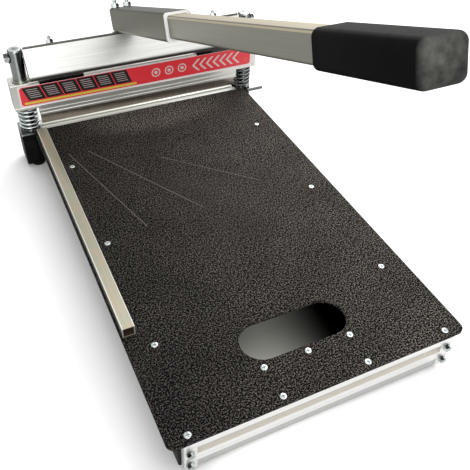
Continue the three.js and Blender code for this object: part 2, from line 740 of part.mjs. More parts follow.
// A compression spring on one unbroken helix: closed turns at both ends and wide ones between.
function springPath() {
  const low = SEAT + SPRING_WIRE / 2;
  const high = BEAM_BOTTOM - SEAT - SPRING_WIRE / 2;
  const closed = SPRING_CLOSED_TURNS;
  const openTurns = SPRING_TURNS - 2 * closed;
  const openPitch = (high - low - 2 * closed * SPRING_CLOSED_PITCH) / openTurns;
  const heightAt = (turn) => {
    const below = Math.min(turn, closed) * SPRING_CLOSED_PITCH;
    const between = THREE.MathUtils.clamp(turn - closed, 0, openTurns) * openPitch;
    const above = Math.max(turn - closed - openTurns, 0) * SPRING_CLOSED_PITCH;
    return low + below + between + above;
  };
  const steps = Math.round(SPRING_TURNS * SPRING_STEPS);
  const points = [];
  for (let i = 0; i <= steps; i++) {
    const turn = (i / steps) * SPRING_TURNS;
    const angle = turn * 2 * Math.PI;
    const x = SPRING_RADIUS * Math.cos(angle);
    points.push(new THREE.Vector3(x, SPRING_RADIUS * Math.sin(angle), heightAt(turn)));
  }
  return points;
}

// Both ends of the wire run straight on for one diameter, level with the seat that they lie on.
function withStraightEnds(points) {
  const run = (end, next) => {
    const away = end.clone().sub(next);
    away.z = 0;
    return end.clone().addScaledVector(away.normalize(), SPRING_WIRE);
  };
  const last = points.length - 1;
  return [run(points[0], points[1]), ...points, run(points[last], points[last - 1])];
}

// Least distance between points of the wire that lie more than half a turn apart, less its diameter.
function leastGap(points) {
  const apart = SPRING_STEPS / 2 + 1;
  let least = Infinity;
  points.forEach((a, i) => {
    for (const b of points.slice(i + apart)) least = Math.min(least, a.distanceTo(b));
  });
  return least - SPRING_WIRE;
}

// A tube round a path: one ring of the section at each point, square to the mean direction there.
function wireTube(points, radius, sides) {
  const positions = [];
  const index = [];
  points.forEach((point, i) => {
    const before = points[Math.max(i - 1, 0)];
    const after = points[Math.min(i + 1, points.length - 1)];
    const ahead = after.clone().sub(before).normalize();
    const outward = new THREE.Vector3(point.x, point.y, 0);
    outward.addScaledVector(ahead, -outward.dot(ahead)).normalize();
    const upward = new THREE.Vector3().crossVectors(ahead, outward);
    for (let k = 0; k < sides; k++) {
      const angle = (k / sides) * 2 * Math.PI;
      const corner = point.clone();
      corner.addScaledVector(outward, radius * Math.cos(angle));
      corner.addScaledVector(upward, radius * Math.sin(angle));
      positions.push(corner.x, corner.y, corner.z);
    }
  });
  for (let i = 0; i < points.length - 1; i++) {
    for (let k = 0; k < sides; k++) {
      const a = i * sides + k;
      const b = i * sides + ((k + 1) % sides);
      index.push(a, b, a + sides, b, b + sides, a + sides);
    }
  }
  const last = (points.length - 1) * sides;
  for (let k = 1; k < sides - 1; k++) {
    index.push(0, k + 1, k);
    index.push(last, last + k, last + k + 1);
  }
  const geometry = new THREE.BufferGeometry();
  geometry.setAttribute("position", new THREE.Float32BufferAttribute(positions, 3));
  geometry.setIndex(index);
  return geometry;
}

const springPoints = withStraightEnds(springPath());
console.log("spring: least gap of the wire to itself " + leastGap(springPoints).toFixed(2) + " mm");

function spring(side) {
  const wire = wireTube(springPoints, SPRING_WIRE / 2, SPRING_SIDES);
  const rightHand = wire.translate(POST_X, POST_Y, 0);
  return side > 0 ? rightHand : mirrored(rightHand);
}

// Front crossbar: a top flange under the board, a grooved front web and a solid block at each end.
function frontCrossbar() {
  const front = BOARD_FRONT;
  const web = front + CROSSBAR_WEB;
  const recess = front + CROSSBAR_GROOVE;
  const firstBand = UNDER_BOARD - CROSSBAR_UPPER_BAND;
  const thirdBand = CROSSBAR_BOTTOM + CROSSBAR_LOWER_RECESS;
  const secondBand = thirdBand + CROSSBAR_LOWER_BAND;
  const outline = polygon([
    [front, UNDER_BOARD],
    [front, firstBand],
    [recess, firstBand],
    [recess, secondBand],
    [front, secondBand],
    [front, thirdBand],
    [recess, thirdBand],
    [recess, CROSSBAR_BOTTOM],
    [web, CROSSBAR_BOTTOM],
    [web, UNDER_BOARD - CROSSBAR_WALL],
    [front + CROSSBAR_FLANGE, UNDER_BOARD - CROSSBAR_WALL],
    [front + CROSSBAR_FLANGE, UNDER_BOARD],
  ]);
  const half = CROSSBAR_HALF_WIDTH;
  const bar = alongX(outline, -half, half);
  const block = rectangle(front, CROSSBAR_BOTTOM, web, UNDER_BOARD - OVERLAP);
  const blocks = [-1, 1].map((side) => {
    const ends = [side * half, side * (half - CROSSBAR_END_BLOCK)];
    return alongX(block, Math.min(...ends), Math.max(...ends));
  });
  const bolts = crossbarBoltPlaces().map(([x, z]) => crossbarBoltHole().translate(x, 0, z));
  const screws = screwHolesWithin(-half, front, half, front + CROSSBAR_FLANGE);
  return cut(join(bar, ...blocks), ...bolts, ...screws);
}

function crossbarBoltPlaces() {
  return [-1, 1].flatMap((side) => CROSSBAR_BOLT_Z.map((z) => [side * CROSSBAR_BOLT_X, z]));
}

function crossbarBolt() {
  const neck = BOARD_FRONT - SEAT;
  const tip = BOARD_FRONT + CROSSBAR_WEB + CROSSBAR_BOLT_REACH;
  const shank = rod(CROSSBAR_BOLT_RADIUS, neck - OVERLAP, tip, SCREW_SIDES);
  const washer = rod(2 * CROSSBAR_BOLT_RADIUS, neck - WASHER, neck, WASHER_SIDES);
  const head = hexagon(CROSSBAR_BOLT_FLATS, neck - CROSSBAR_BOLT_HEAD, neck - OVERLAP);
  return laidAlongY(join(shank, washer, head));
}

function crossbarBoltHole() {
  const tip = BOARD_FRONT + CROSSBAR_WEB + CROSSBAR_BOLT_REACH + SEAT;
  return laidAlongY(rod(CROSSBAR_BOLT_RADIUS + SLIP, BOARD_FRONT - THROUGH, tip, SCREW_SIDES));
}

function frontLeg(side) {
  const front = BOARD_FRONT + CROSSBAR_WEB + SEAT;
  const top = UNDER_BOARD - CROSSBAR_WALL - SEAT;
  const rear = front + FRONT_LEG_DEPTH;
  const corners = Array(4).fill(FRONT_LEG_ROUNDING);
  const outline = roundedRectangle(FRONT_LEG_INNER, front, FRONT_LEG_OUTER, rear, corners);
  const block = alongZ(outline, LEG_BOTTOM, top);
  const pinDepth = LEG_BOTTOM + FOOT_PIN_LENGTH + SEAT;
  const pinHole = rod(FOOT_PIN_RADIUS + SLIP, LEG_BOTTOM - THROUGH, pinDepth, SCREW_SIDES);
  pinHole.translate(FRONT_FOOT_X, FRONT_FOOT_Y, 0);
  const bolts = CROSSBAR_BOLT_Z.map((z) => crossbarBoltHole().translate(CROSSBAR_BOLT_X, 0, z));
  const screws = screwHolesWithin(FRONT_LEG_INNER, front - THROUGH, FRONT_LEG_OUTER, rear);
  const finished = cut(block, pinHole, ...bolts, ...screws);
  return side > 0 ? finished : mirrored(finished);
}

// Upper beam: a solid extrusion with a recessed label face and a ridged lip in front of the blade.
function upperBeam() {
  const lipRear = BLADE_FRONT - SEAT;
  const label = BEAM_FRONT + LABEL_RECESS;
  const ridges = LIP_RIDGES.map(([depth, height]) => [LIP_FRONT + depth, LIP_BOTTOM + height]);
  const [neck] = ridges[ridges.length - 1];
  const outline = polygon([
    [lipRear, LIP_BOTTOM],
    [LIP_FRONT, LIP_BOTTOM],
    ...ridges,
    [neck, BEAM_BOTTOM],
    [BEAM_FRONT, BEAM_BOTTOM + LIP_SLOPE],
    [BEAM_FRONT, LABEL_BOTTOM],
    [label, LABEL_BOTTOM + LABEL_RECESS],
    [label, LABEL_TOP - LABEL_RECESS],
    [BEAM_FRONT, LABEL_TOP],
    [BEAM_FRONT, BEAM_TOP - BEAM_CHAMFER],
    [BEAM_FRONT + BEAM_CHAMFER, BEAM_TOP],
    [BEAM_REAR - BEAM_CHAMFER, BEAM_TOP],
    [BEAM_REAR, BEAM_TOP - BEAM_CHAMFER],
    [BEAM_REAR, BEAM_BOTTOM + BEAM_CHAMFER],
    [BEAM_REAR - BEAM_CHAMFER, BEAM_BOTTOM],
    [lipRear, BEAM_BOTTOM],
  ]);
  const bar = alongX(outline, -BEAM_HALF_WIDTH, BEAM_HALF_WIDTH);
  return cut(bar, ...beamEndCuts(), bladeSlot(), ...padNotches(), ...bushingBores(), ...bladeScrewHoles());
}

function beamEndCuts() {
  const below = rectangle(BEAM_FRONT - THROUGH, -THROUGH, BEAM_REAR + THROUGH, BEAM_BOTTOM);
  const half = BEAM_HALF_WIDTH + THROUGH;
  return [alongX(below, -half, -LIP_HALF_WIDTH), alongX(below, LIP_HALF_WIDTH, half)];
}

function bladeSlot() {
  const slot = rectangle(BLADE_FRONT - SEAT, BLADE_EDGE, BLADE_REAR + SEAT, BLADE_TOP + SEAT);
  return alongX(slot, -LIP_HALF_WIDTH, LIP_HALF_WIDTH);
}

function padNotches() {
  const notch = rectangle(BEAM_FRONT - THROUGH, PAD_SEAT, PAD_FRONT + PAD_DEPTH + SEAT, BEAM_TOP + THROUGH);
  const from = PAD_INNER_X - SEAT;
  const to = PAD_INNER_X + PAD_LENGTH + SEAT;
  return [alongX(notch, from, to), alongX(notch, -to, -from)];
}

function bushingBores() {
  const radius = BUSHING_OUTER_RADIUS + SLIP;
  return [-1, 1].map((side) => {
    const bore = rod(radius, BEAM_BOTTOM - THROUGH, BEAM_TOP + THROUGH, POST_SIDES);
    return bore.translate(side * POST_X, POST_Y, 0);
  });
}

function bladeScrewHoles() {
  return BLADE_SCREW_X.map((x) => {
    const shank = rod(BLADE_SCREW_RADIUS + SLIP, BLADE_FRONT - SEAT, BEAM_REAR, SCREW_SIDES);
    const seat = BEAM_REAR - BLADE_SCREW_HEAD - 2 * SEAT;
    const counterbore = rod(BLADE_SCREW_HEAD_RADIUS + SLIP, seat, BEAM_REAR + OVERLAP, SCREW_SIDES);
    return laidAlongY(join(shank, counterbore)).translate(x, 0, BLADE_SCREW_Z);
  });
}

function bladeScrew(x) {
  const tip = BLADE_FRONT + SLIP;
  const seat = BEAM_REAR - BLADE_SCREW_HEAD - SEAT;
  const shank = rod(BLADE_SCREW_RADIUS, tip, seat + OVERLAP, SCREW_SIDES);
  const head = rod(BLADE_SCREW_HEAD_RADIUS, seat, seat + BLADE_SCREW_HEAD, SCREW_SIDES);
  const socket = hexagon(BLADE_SCREW_KEY, seat + BLADE_SCREW_HEAD / 2, BEAM_REAR + OVERLAP);
  return laidAlongY(cut(join(shank, head), socket)).translate(x, 0, BLADE_SCREW_Z);
}

function blade() {
  const outline = polygon([
    [BLADE_FRONT, BLADE_EDGE],
    [BLADE_REAR, BLADE_EDGE + BLADE_BEVEL],
    [BLADE_REAR, BLADE_TOP],
    [BLADE_FRONT, BLADE_TOP],
  ]);
  const plate = alongX(outline, -BLADE_HALF_WIDTH, BLADE_HALF_WIDTH);
  const holes = BLADE_SCREW_X.map((x) => {
    const hole = rod(BLADE_SCREW_RADIUS + SLIP, BLADE_FRONT - OVERLAP, BLADE_REAR + OVERLAP, SCREW_SIDES);
    return laidAlongY(hole).translate(x, 0, BLADE_SCREW_Z);
  });
  return cut(plate, ...holes);
}

function wearPad(side) {
  const corners = [0, 0, PAD_REAR_ROUNDING, PAD_ROUNDING];
  const rear = PAD_FRONT + PAD_DEPTH;
  const outline = roundedRectangle(PAD_FRONT, PAD_SEAT + SEAT, rear, PAD_TOP, corners);
  const pad = alongX(outline, PAD_INNER_X, PAD_INNER_X + PAD_LENGTH);
  return side > 0 ? pad : mirrored(pad);
}

function postBushing(side) {
  const inner = BUSHING_INNER_RADIUS;
  const outer = BUSHING_OUTER_RADIUS;
  const shoulder = BEAM_TOP + SEAT;
  const top = shoulder + BUSHING_FLANGE;
  const bottom = BEAM_BOTTOM + SEAT;
  const ring = turned(
    [
      [inner, bottom],
      [outer, bottom],
      [outer, shoulder],
      [BUSHING_FLANGE_RADIUS, shoulder],
      [BUSHING_FLANGE_RADIUS, top - BUSHING_BEVEL],
      [BUSHING_FLANGE_RADIUS - BUSHING_BEVEL, top],
      [inner, top],
      [inner, bottom],
    ],
    POST_SIDES,
  );
  return ring.translate(side * POST_X, POST_Y, 0);
}

// Cam frame: its origin is the pivot, Z runs up the bar and Y out of its back.
function camFrame() {
  const frame = new THREE.Group();
  frame.position.set(0, POST_Y, PIVOT_Z);
  frame.rotation.x = -radians(CAM_TILT);
  frame.updateMatrixWorld(true);
  return frame;
}

// Handle frame: its origin is the socket's lower back edge, and -Y runs up the handle.
function handleFrame() {
  const frame = new THREE.Group();
  frame.rotation.x = -radians(HANDLE_PITCH);
  const corner = new THREE.Vector3(0, -CAM_THICKNESS / 2, STRIP_TOP);
  const forward = new THREE.Vector3(0, -1, 0).applyEuler(frame.rotation);
  const upward = new THREE.Vector3(0, 0, 1).applyEuler(frame.rotation);
  frame.position.copy(camFrame().localToWorld(corner));
  frame.position.addScaledVector(upward, SEAT);
  frame.position.addScaledVector(forward, -SOCKET_OVERHANG);
  frame.position.x = HANDLE_X;
  frame.updateMatrixWorld(true);
  return frame;
}

// Moves a geometry made in the handle's frame into the cam's.
function fromHandleToCam(geometry) {
  const intoCam = camFrame().matrixWorld.invert().multiply(handleFrame().matrixWorld);
  return geometry.applyMatrix4(intoCam);
}

function socketBoltHoles() {
  const low = -SOCKET_BOLT_SUNK - SEAT;
  return [-1, 1].map((side) => {
    const hole = rod(SOCKET_BOLT_RADIUS + SLIP, low, SOCKET_HEIGHT + THROUGH, SCREW_SIDES);
    return hole.translate(side * SOCKET_BOLT_X, -SOCKET_BOLT_FROM_REAR, 0);
  });
}

function stripBoltHoles() {
  return [-1, 1].map((side) => {
    const low = CAM_ABOVE_PIVOT - STRIP_BOLT_SUNK - SEAT;
    const hole = rod(STRIP_BOLT_RADIUS + SLIP, low, THROUGH, SCREW_SIDES);
    return hole.translate(side * STRIP_BOLT_X, 0, 0);
  });
}

// The cam bar's lower edge is a full round that presses the pads down as the handle falls.
function camBar() {
  const half = CAM_THICKNESS / 2;
  const outline = new THREE.Shape();
  outline.moveTo(half, CAM_ABOVE_PIVOT);
  outline.lineTo(-half, CAM_ABOVE_PIVOT);
  outline.lineTo(-half, -CAM_THROW);
  outline.absarc(0, -CAM_THROW, half, Math.PI, 2 * Math.PI);
  outline.closePath();
  const bar = alongX(outline, -CAM_HALF_WIDTH, CAM_HALF_WIDTH);
  const bores = [-1, 1].map((side) => {
    const reach = PIVOT_REACH + SEAT;
    const bore = laidAlongX(rod(PIVOT_RADIUS + SLIP, -reach, reach, SCREW_SIDES));
    return bore.translate(side * CAM_HALF_WIDTH, 0, 0);
  });
  return cut(bar, ...bores, ...stripBoltHoles(), ...socketBoltHoles().map(fromHandleToCam));
}

// A steel angle along the bar's upper edge, one leg on top and one down the back.
function camStrip() {
  const front = -CAM_THICKNESS / 2;
  const backLeg = CAM_THICKNESS / 2 + SEAT;
  const outline = polygon([
    [front, STRIP_SEAT],
    [backLeg, STRIP_SEAT],
    [backLeg, STRIP_TOP - STRIP_DROP],
    [STRIP_REAR, STRIP_TOP - STRIP_DROP],
    [STRIP_REAR, STRIP_TOP],
    [front, STRIP_TOP],
  ]);
  const angle = alongX(outline, -STRIP_HALF_LENGTH, STRIP_HALF_LENGTH);
  return cut(angle, ...stripBoltHoles(), ...socketBoltHoles().map(fromHandleToCam));
}

// A stud with its washer and nut, standing on a face at the given height.
function studWithNut(radius, bottom, face, nut) {
  const seat = face + SEAT;
  const nutTop = seat + OVERLAP + nut.height;
  const stud = turned(
    [
      [0, bottom],
      [radius, bottom],
      [radius, nutTop + STUD_TIP - STUD_BEVEL],
      [radius - STUD_BEVEL, nutTop + STUD_TIP],
      [0, nutTop + STUD_TIP],
    ],
    SCREW_SIDES,
  );
  const washer = rod(nut.flats * WASHER_TO_FLATS, seat, seat + WASHER, WASHER_SIDES);
  return join(stud, washer, hexagon(nut.flats, seat + OVERLAP, nutTop));
}

function stripBolt(side) {
  const bottom = CAM_ABOVE_PIVOT - STRIP_BOLT_SUNK;
  const stud = studWithNut(STRIP_BOLT_RADIUS, bottom, STRIP_TOP, STRIP_NUT);
  return stud.translate(side * STRIP_BOLT_X, 0, 0);
}

function socketBolt(side) {
  const stud = studWithNut(SOCKET_BOLT_RADIUS, -SOCKET_BOLT_SUNK, SOCKET_HEIGHT, SOCKET_NUT);
  return stud.translate(side * SOCKET_BOLT_X, -SOCKET_BOLT_FROM_REAR, 0);
}

// A wedge under the socket with a plate down the back of the strip, in the cam's frame.
function handleSaddle() {
  const slope = Math.tan(radians(CAM_TILT - HANDLE_PITCH));
  const front = -CAM_THICKNESS / 2;
  const top = (y) => STRIP_TOP + (y - front) * slope;
  const nose = front + SADDLE_NOSE;
  const seat = STRIP_TOP + SEAT;
  const inner = STRIP_REAR + SEAT;
  const outer = inner + SADDLE_WALL;
  const outline = polygon([
    [nose, seat],
    [inner, seat],
    [inner, STRIP_TOP - STRIP_DROP],
    [outer, STRIP_TOP - STRIP_DROP],
    [outer, top(outer)],
    [nose, top(nose)],
  ]);
  const half = SOCKET_WIDTH / 2;
  const wedge = alongX(outline, HANDLE_X - half, HANDLE_X + half);
  return cut(wedge, ...socketBoltHoles().map(fromHandleToCam));
}

// A tube along the handle whose section is one rounded rectangle inside another.
function handleTube(width, height, wall, rounding, from, to) {
  const outline = centredRectangle(width, height, rounding);
  const inner = Math.max(rounding - wall, LEAST_ROUNDING);
  const inside = centredRectangle(width - 2 * wall, height - 2 * wall, inner);
  outline.holes.push(inside);
  return alongY(outline, -to, -from).translate(0, 0, SOCKET_HEIGHT / 2);
}

function handleSocket() {
  const tube = handleTube(SOCKET_WIDTH, SOCKET_HEIGHT, SOCKET_WALL, SOCKET_ROUNDING, 0, SOCKET_LENGTH);
  const corner = polygon([
    [-SOCKET_CHAMFER - OVERLAP, -OVERLAP],
    [OVERLAP, -OVERLAP],
    [OVERLAP, SOCKET_CHAMFER + OVERLAP],
  ]);
  const chamfer = alongX(corner, -SOCKET_WIDTH, SOCKET_WIDTH);
  return cut(tube, chamfer, ...socketBoltHoles());
}

// The liner guides the inner tube in the socket's mouth, and its flange covers the socket's end.
function socketLiner() {
  const bore = { width: TUBE_WIDTH + 2 * SLIP, height: TUBE_HEIGHT + 2 * SLIP };
  const inset = 2 * (SOCKET_WALL + SLIP);
  const body = centredRectangle(SOCKET_WIDTH - inset, SOCKET_HEIGHT - inset, SOCKET_ROUNDING - SOCKET_WALL);
  const mouth = SOCKET_LENGTH + SEAT;
  const sleeve = alongY(body, -mouth - OVERLAP, -SOCKET_LENGTH + LINER_DEPTH);
  const coverWidth = SOCKET_WIDTH - 2 * LINER_FLANGE_INSET;
  const coverHeight = SOCKET_HEIGHT - 2 * LINER_FLANGE_INSET;
  const cover = centredRectangle(coverWidth, coverHeight, SOCKET_ROUNDING);
  const flange = alongY(cover, -mouth - LINER_FLANGE, -mouth);
  const inside = centredRectangle(bore.width, bore.height, TUBE_ROUNDING);
  const passage = alongY(inside, -mouth - THROUGH, -SOCKET_LENGTH + LINER_DEPTH + THROUGH);
  return cut(join(sleeve, flange), passage).translate(0, 0, SOCKET_HEIGHT / 2);
}

function innerTube() {
  const from = SOCKET_LENGTH - TUBE_INSERTED;
  const to = GRIP_FROM_REAR + GRIP_LENGTH - GRIP_END_WALL - SEAT;
  return handleTube(TUBE_WIDTH, TUBE_HEIGHT, TUBE_WALL, TUBE_ROUNDING, from, to);
}

// One ring of a rounded rectangle, shrunk on all sides by the same inset.
function gripRing(inset, y) {
  const radius = Math.max(GRIP_ROUNDING - inset, GRIP_LEAST_ROUNDING);
  const outline = centredRectangle(GRIP_WIDTH - 2 * inset, GRIP_HEIGHT - 2 * inset, radius);
  const ring = outline.getPoints(ARC_STEPS - 1);
  ring.pop();
  return ring.map((p) => new THREE.Vector3(p.x, y, p.y));
}

// Skin over a row of rings with the same number of points, closed at both ends.
function loft(rings) {
  const count = rings[0].length;
  const positions = rings.flat().flatMap((p) => [p.x, p.y, p.z]);
  const index = [];
  for (let i = 0; i < rings.length - 1; i++) {
    for (let k = 0; k < count; k++) {
      const a = i * count + k;
      const b = i * count + ((k + 1) % count);
      index.push(a, b, a + count, b, b + count, a + count);
    }
  }
  const last = (rings.length - 1) * count;
  for (let k = 1; k < count - 1; k++) {
    index.push(0, k + 1, k);
    index.push(last, last + k, last + k + 1);
  }
  const geometry = new THREE.BufferGeometry();
  geometry.setAttribute("position", new THREE.Float32BufferAttribute(positions, 3));
  geometry.setIndex(index);
  return geometry;
}

// Rubber grip over the end of the inner tube: its outer end is rounded over a quarter circle.
function grip() {
  const near = -GRIP_FROM_REAR;
  const far = near - GRIP_LENGTH;
  const rings = GRIP_MOUTH.map(([inset, depth]) => gripRing(inset, near - depth));
  const curve = (Math.PI / 2) * GRIP_END_PART;
  for (let i = 0; i <= GRIP_END_STEPS; i++) {
    const angle = (i / GRIP_END_STEPS) * curve;
    const inset = GRIP_END_CURVE * (1 - Math.cos(angle));
    const reach = GRIP_END_CURVE * (1 - Math.sin(angle) / Math.sin(curve));
    rings.push(gripRing(inset, far + reach));
  }
  const inside = centredRectangle(TUBE_WIDTH + 2 * SLIP, TUBE_HEIGHT + 2 * SLIP, TUBE_ROUNDING);
  const socket = alongY(inside, far + GRIP_END_WALL, near + THROUGH);
  return cut(loft(rings), socket).translate(0, 0, SOCKET_HEIGHT / 2);
}

// Finishes

const FINISHES = {
  texturedBlack: { color: 0x2b2826, roughness: 0.75, metalness: 0 },
  blackPaint: { color: 0x2d3032, roughness: 0.55, metalness: 0.1 },
  blackRubber: { color: 0x1e1e1f, roughness: 0.8, metalness: 0 },
  glossBlack: { color: 0x0d0d10, roughness: 0.2, metalness: 0 },
  brushedAluminium: { color: 0xdcdad4, roughness: 0.35, metalness: 1 },
  zinc: { color: 0xc4c8c6, roughness: 0.25, metalness: 1 },
  darkSteel: { color: 0x4a4b46, roughness: 0.45, metalness: 0.9 },
  satinSteel: { color: 0x85847a, roughness: 0.4, metalness: 0.9 },
  bladeSteel: { color: 0x8b8378, roughness: 0.3, metalness: 1 },
  bronze: { color: 0xb08d57, roughness: 0.35, metalness: 1 },
  whitePlastic: { color: 0xeeeeea, roughness: 0.45, metalness: 0 },
};

const cutter = new THREE.Group();
const cam = camFrame();
const handle = handleFrame();

function place(name, geometry, finish, parent = cutter) {
  const mesh = new THREE.Mesh(geometry, new THREE.MeshStandardMaterial(FINISHES[finish]));
  mesh.name = name;
  parent.add(mesh);
  return mesh;
}

const SIDES = [
  ["left", -1],
  ["right", 1],
];

function placeBase() {
  place("table_board", tableBoard(), "texturedBlack");
  screwPlaces().forEach(([x, y], i) => {
    place("board_screw_" + String(i + 1).padStart(2, "0"), boardScrew(), "zinc").position.set(x, y, 0);
  });
  place("base_anvil", baseAnvil(), "brushedAluminium");
  place("rear_leg_left", rearLeg(LEFT_LEG), "blackPaint");
  place("rear_leg_right", rearLeg(RIGHT_LEG), "blackPaint");
  place("spring_seat_left", springSeat(LEFT_LEG, LEFT_SEAT_FRONT), "zinc");
  place("spring_seat_right", springSeat(RIGHT_LEG, RIGHT_LEG.front), "zinc");
  place("side_rod", sideRod(), "zinc");
  place("front_crossbar", frontCrossbar(), "brushedAluminium");
  place("fence", fence(), "brushedAluminium");
  crossbarBoltPlaces().forEach(([x, z], i) => {
    place("crossbar_bolt_" + (i + 1), crossbarBolt(), "zinc").position.set(x, 0, z);
  });
  for (const [word, side] of SIDES) {
    place("post_" + word, post(side), "zinc");
    place("pivot_bolt_" + word, pivotBolt(side), "zinc");
    place("front_leg_" + word, frontLeg(side), "blackPaint");
    place("side_rail_" + word, sideRail(side), "brushedAluminium");
    const rearFoot = place("foot_rear_" + word, foot(), "blackRubber");
    rearFoot.position.set(side * POST_X, REAR_FOOT_Y, 0);
    const frontFoot = place("foot_front_" + word, foot(), "blackRubber");
    frontFoot.position.set(side * FRONT_FOOT_X, FRONT_FOOT_Y, 0);
    place("spring_" + word, spring(side), "zinc");
  }
}

function placeBeam() {
  place("upper_beam", upperBeam(), "brushedAluminium");
  place("blade", blade(), "bladeSteel");
  BLADE_SCREW_X.forEach((x, i) => place("blade_screw_" + (i + 1), bladeScrew(x), "zinc"));
  for (const [word, side] of SIDES) {
    place("wear_pad_" + word, wearPad(side), "glossBlack");
    place("post_bushing_" + word, postBushing(side), "bronze");
  }
}

function placeLever() {
  cutter.add(cam, handle);
  place("cam_bar", camBar(), "brushedAluminium", cam);
  place("cam_strip", camStrip(), "darkSteel", cam);
  place("handle_saddle", handleSaddle(), "darkSteel", cam);
  place("handle_socket", handleSocket(), "satinSteel", handle);
  place("socket_liner", socketLiner(), "whitePlastic", handle);
  for (const [word, side] of SIDES) {
    place("strip_bolt_" + word, stripBolt(side), "zinc", cam);
    place("socket_bolt_" + word, socketBolt(side), "zinc", handle);
  }
  place("inner_tube", innerTube(), "satinSteel", handle);
  place("grip", grip(), "blackRubber", handle);
}

placeBase();
placeBeam();
placeLever();

export default cutter;
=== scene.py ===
"""Fine pieces, finishes, stage and camera for a bench laminate cutter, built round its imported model."""

import json
import math

import bmesh
import bpy
import numpy as np
from bpy.props import FloatProperty, FloatVectorProperty, IntProperty, PointerProperty
from mathutils import Matrix, Vector


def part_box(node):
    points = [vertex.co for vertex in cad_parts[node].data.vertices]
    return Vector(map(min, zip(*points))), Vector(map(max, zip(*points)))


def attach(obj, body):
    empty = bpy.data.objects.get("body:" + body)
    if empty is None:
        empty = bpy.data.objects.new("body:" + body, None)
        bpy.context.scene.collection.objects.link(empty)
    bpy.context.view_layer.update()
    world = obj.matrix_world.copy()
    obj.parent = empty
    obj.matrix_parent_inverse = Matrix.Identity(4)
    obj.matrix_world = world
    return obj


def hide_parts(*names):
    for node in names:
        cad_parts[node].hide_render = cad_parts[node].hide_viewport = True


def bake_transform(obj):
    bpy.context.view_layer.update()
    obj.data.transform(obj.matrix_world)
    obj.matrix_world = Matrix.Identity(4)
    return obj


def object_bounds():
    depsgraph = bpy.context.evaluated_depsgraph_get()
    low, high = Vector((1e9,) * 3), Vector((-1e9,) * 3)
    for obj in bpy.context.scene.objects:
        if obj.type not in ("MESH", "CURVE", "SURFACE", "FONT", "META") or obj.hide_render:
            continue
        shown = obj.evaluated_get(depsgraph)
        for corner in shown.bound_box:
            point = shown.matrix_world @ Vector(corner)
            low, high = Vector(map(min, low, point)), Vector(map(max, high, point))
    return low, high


bl_info = {
    "name": "Laminate cutter",
    "version": (1, 0, 0),
    "blender": (4, 5, 0),
    "location": "View3D > Sidebar > Cutter",
    "description": "Builds the fine pieces and finishes of a bench laminate cutter round its packed model",
    "category": "Object",
}

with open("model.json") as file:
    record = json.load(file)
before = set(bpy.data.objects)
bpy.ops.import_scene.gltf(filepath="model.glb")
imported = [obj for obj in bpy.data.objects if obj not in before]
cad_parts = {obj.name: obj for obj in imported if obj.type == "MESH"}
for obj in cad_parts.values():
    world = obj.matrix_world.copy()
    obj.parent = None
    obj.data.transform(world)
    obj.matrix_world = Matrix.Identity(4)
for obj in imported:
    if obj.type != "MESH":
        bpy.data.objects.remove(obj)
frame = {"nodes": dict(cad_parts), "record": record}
BOX_AT_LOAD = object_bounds()

MM = 0.001
RECORD = frame["record"]
BODY_OF = {node: body for body, nodes in RECORD["behaviour"]["bodies"].items() for node in nodes}
SIDES = {"left": -1.0, "right": 1.0}  # and the sign of each along X

CAM_LEAN = 33.0  # degrees that the cam bar leans back
HANDLE_LEAN = 20.7  # degrees that the handle rises towards its grip
ON_AXIS = 0.01 * MM  # radius of a turned profile where it meets its axis


# Directions and boxes


def leaning(degrees):
    """Direction of a piece that leans back from upright by an angle."""
    angle = math.radians(degrees)
    return (0.0, math.sin(angle), math.cos(angle))


def own_axes(direction):
    """Right-handed axes whose third one is the direction, as the columns of a matrix."""
    w = np.array(direction, float)
    w /= np.linalg.norm(w)
    side = np.array([1.0, 0, 0]) if abs(w[0]) < 0.9 else np.array([0, 1.0, 0])
    u = side - w * (side @ w)
    u /= np.linalg.norm(u)
    return np.column_stack([u, np.cross(w, u), w])


def mesh_rows(items, field, axes=None):
    """A place or direction for each point or face of a mesh, along a piece's own axes where they are given."""
    flat = np.empty(len(items) * 3, np.float32)
    items.foreach_get(field, flat)
    rows = flat.reshape(-1, 3).astype(float)
    return rows if axes is None else rows @ axes


def box_of(node, axes=None):
    """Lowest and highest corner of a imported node, along its own axes where they are given."""
    if axes is None:
        return tuple(np.array(corner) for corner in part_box(node))
    points = mesh_rows(frame["nodes"][node].data.vertices, "co", axes)
    return points.min(0), points.max(0)


def round_box(node, axes=None):
    """Middle, radius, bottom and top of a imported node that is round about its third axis."""
    low, high = box_of(node, axes)
    return (low + high)[:2] / 2, (high - low)[0] / 2, low[2], high[2]


def leaning_box(node, degrees):
    """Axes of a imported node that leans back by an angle, and its corners, size and middle along them."""
    axes = own_axes(leaning(degrees))
    low, high = box_of(node, axes)
    return axes, low, high, high - low, (high + low) / 2


# Surfaces from rings of points


def skin(rings, loop=False):
    """Points and faces over an array of rings, each ring the same number of points.

    Four neighbours of the grid make a face. With loop the last ring joins the first,
    and otherwise a fan round its middle closes each end. A negative volume turns all faces.
    """
    count, around, _ = rings.shape
    points = rings.reshape(-1, 3)
    rows = np.arange(count if loop else count - 1)[:, None]
    steps = np.arange(around)
    here, ahead = rows * around, (rows + 1) % count * around
    after = (steps + 1) % around
    quads = np.stack([here + steps, here + after, ahead + after, ahead + steps], -1).reshape(-1, 4)
    faces = quads.tolist()
    if not loop:
        last, low, high = (count - 1) * around, len(points), len(points) + 1
        points = np.vstack([points, rings[0].mean(0), rings[-1].mean(0)])
        faces += np.stack([np.full(around, low), after, steps], -1).tolist()
        faces += np.stack([np.full(around, high), last + steps, last + after], -1).tolist()
    a, b, c, d = (points[quads[:, i]] for i in range(4))
    volume = np.einsum("ij,ij->", a, np.cross(b, c)) + np.einsum("ij,ij->", a, np.cross(c, d))
    if volume < 0:
        faces = [face[::-1] for face in faces]
    return points, faces


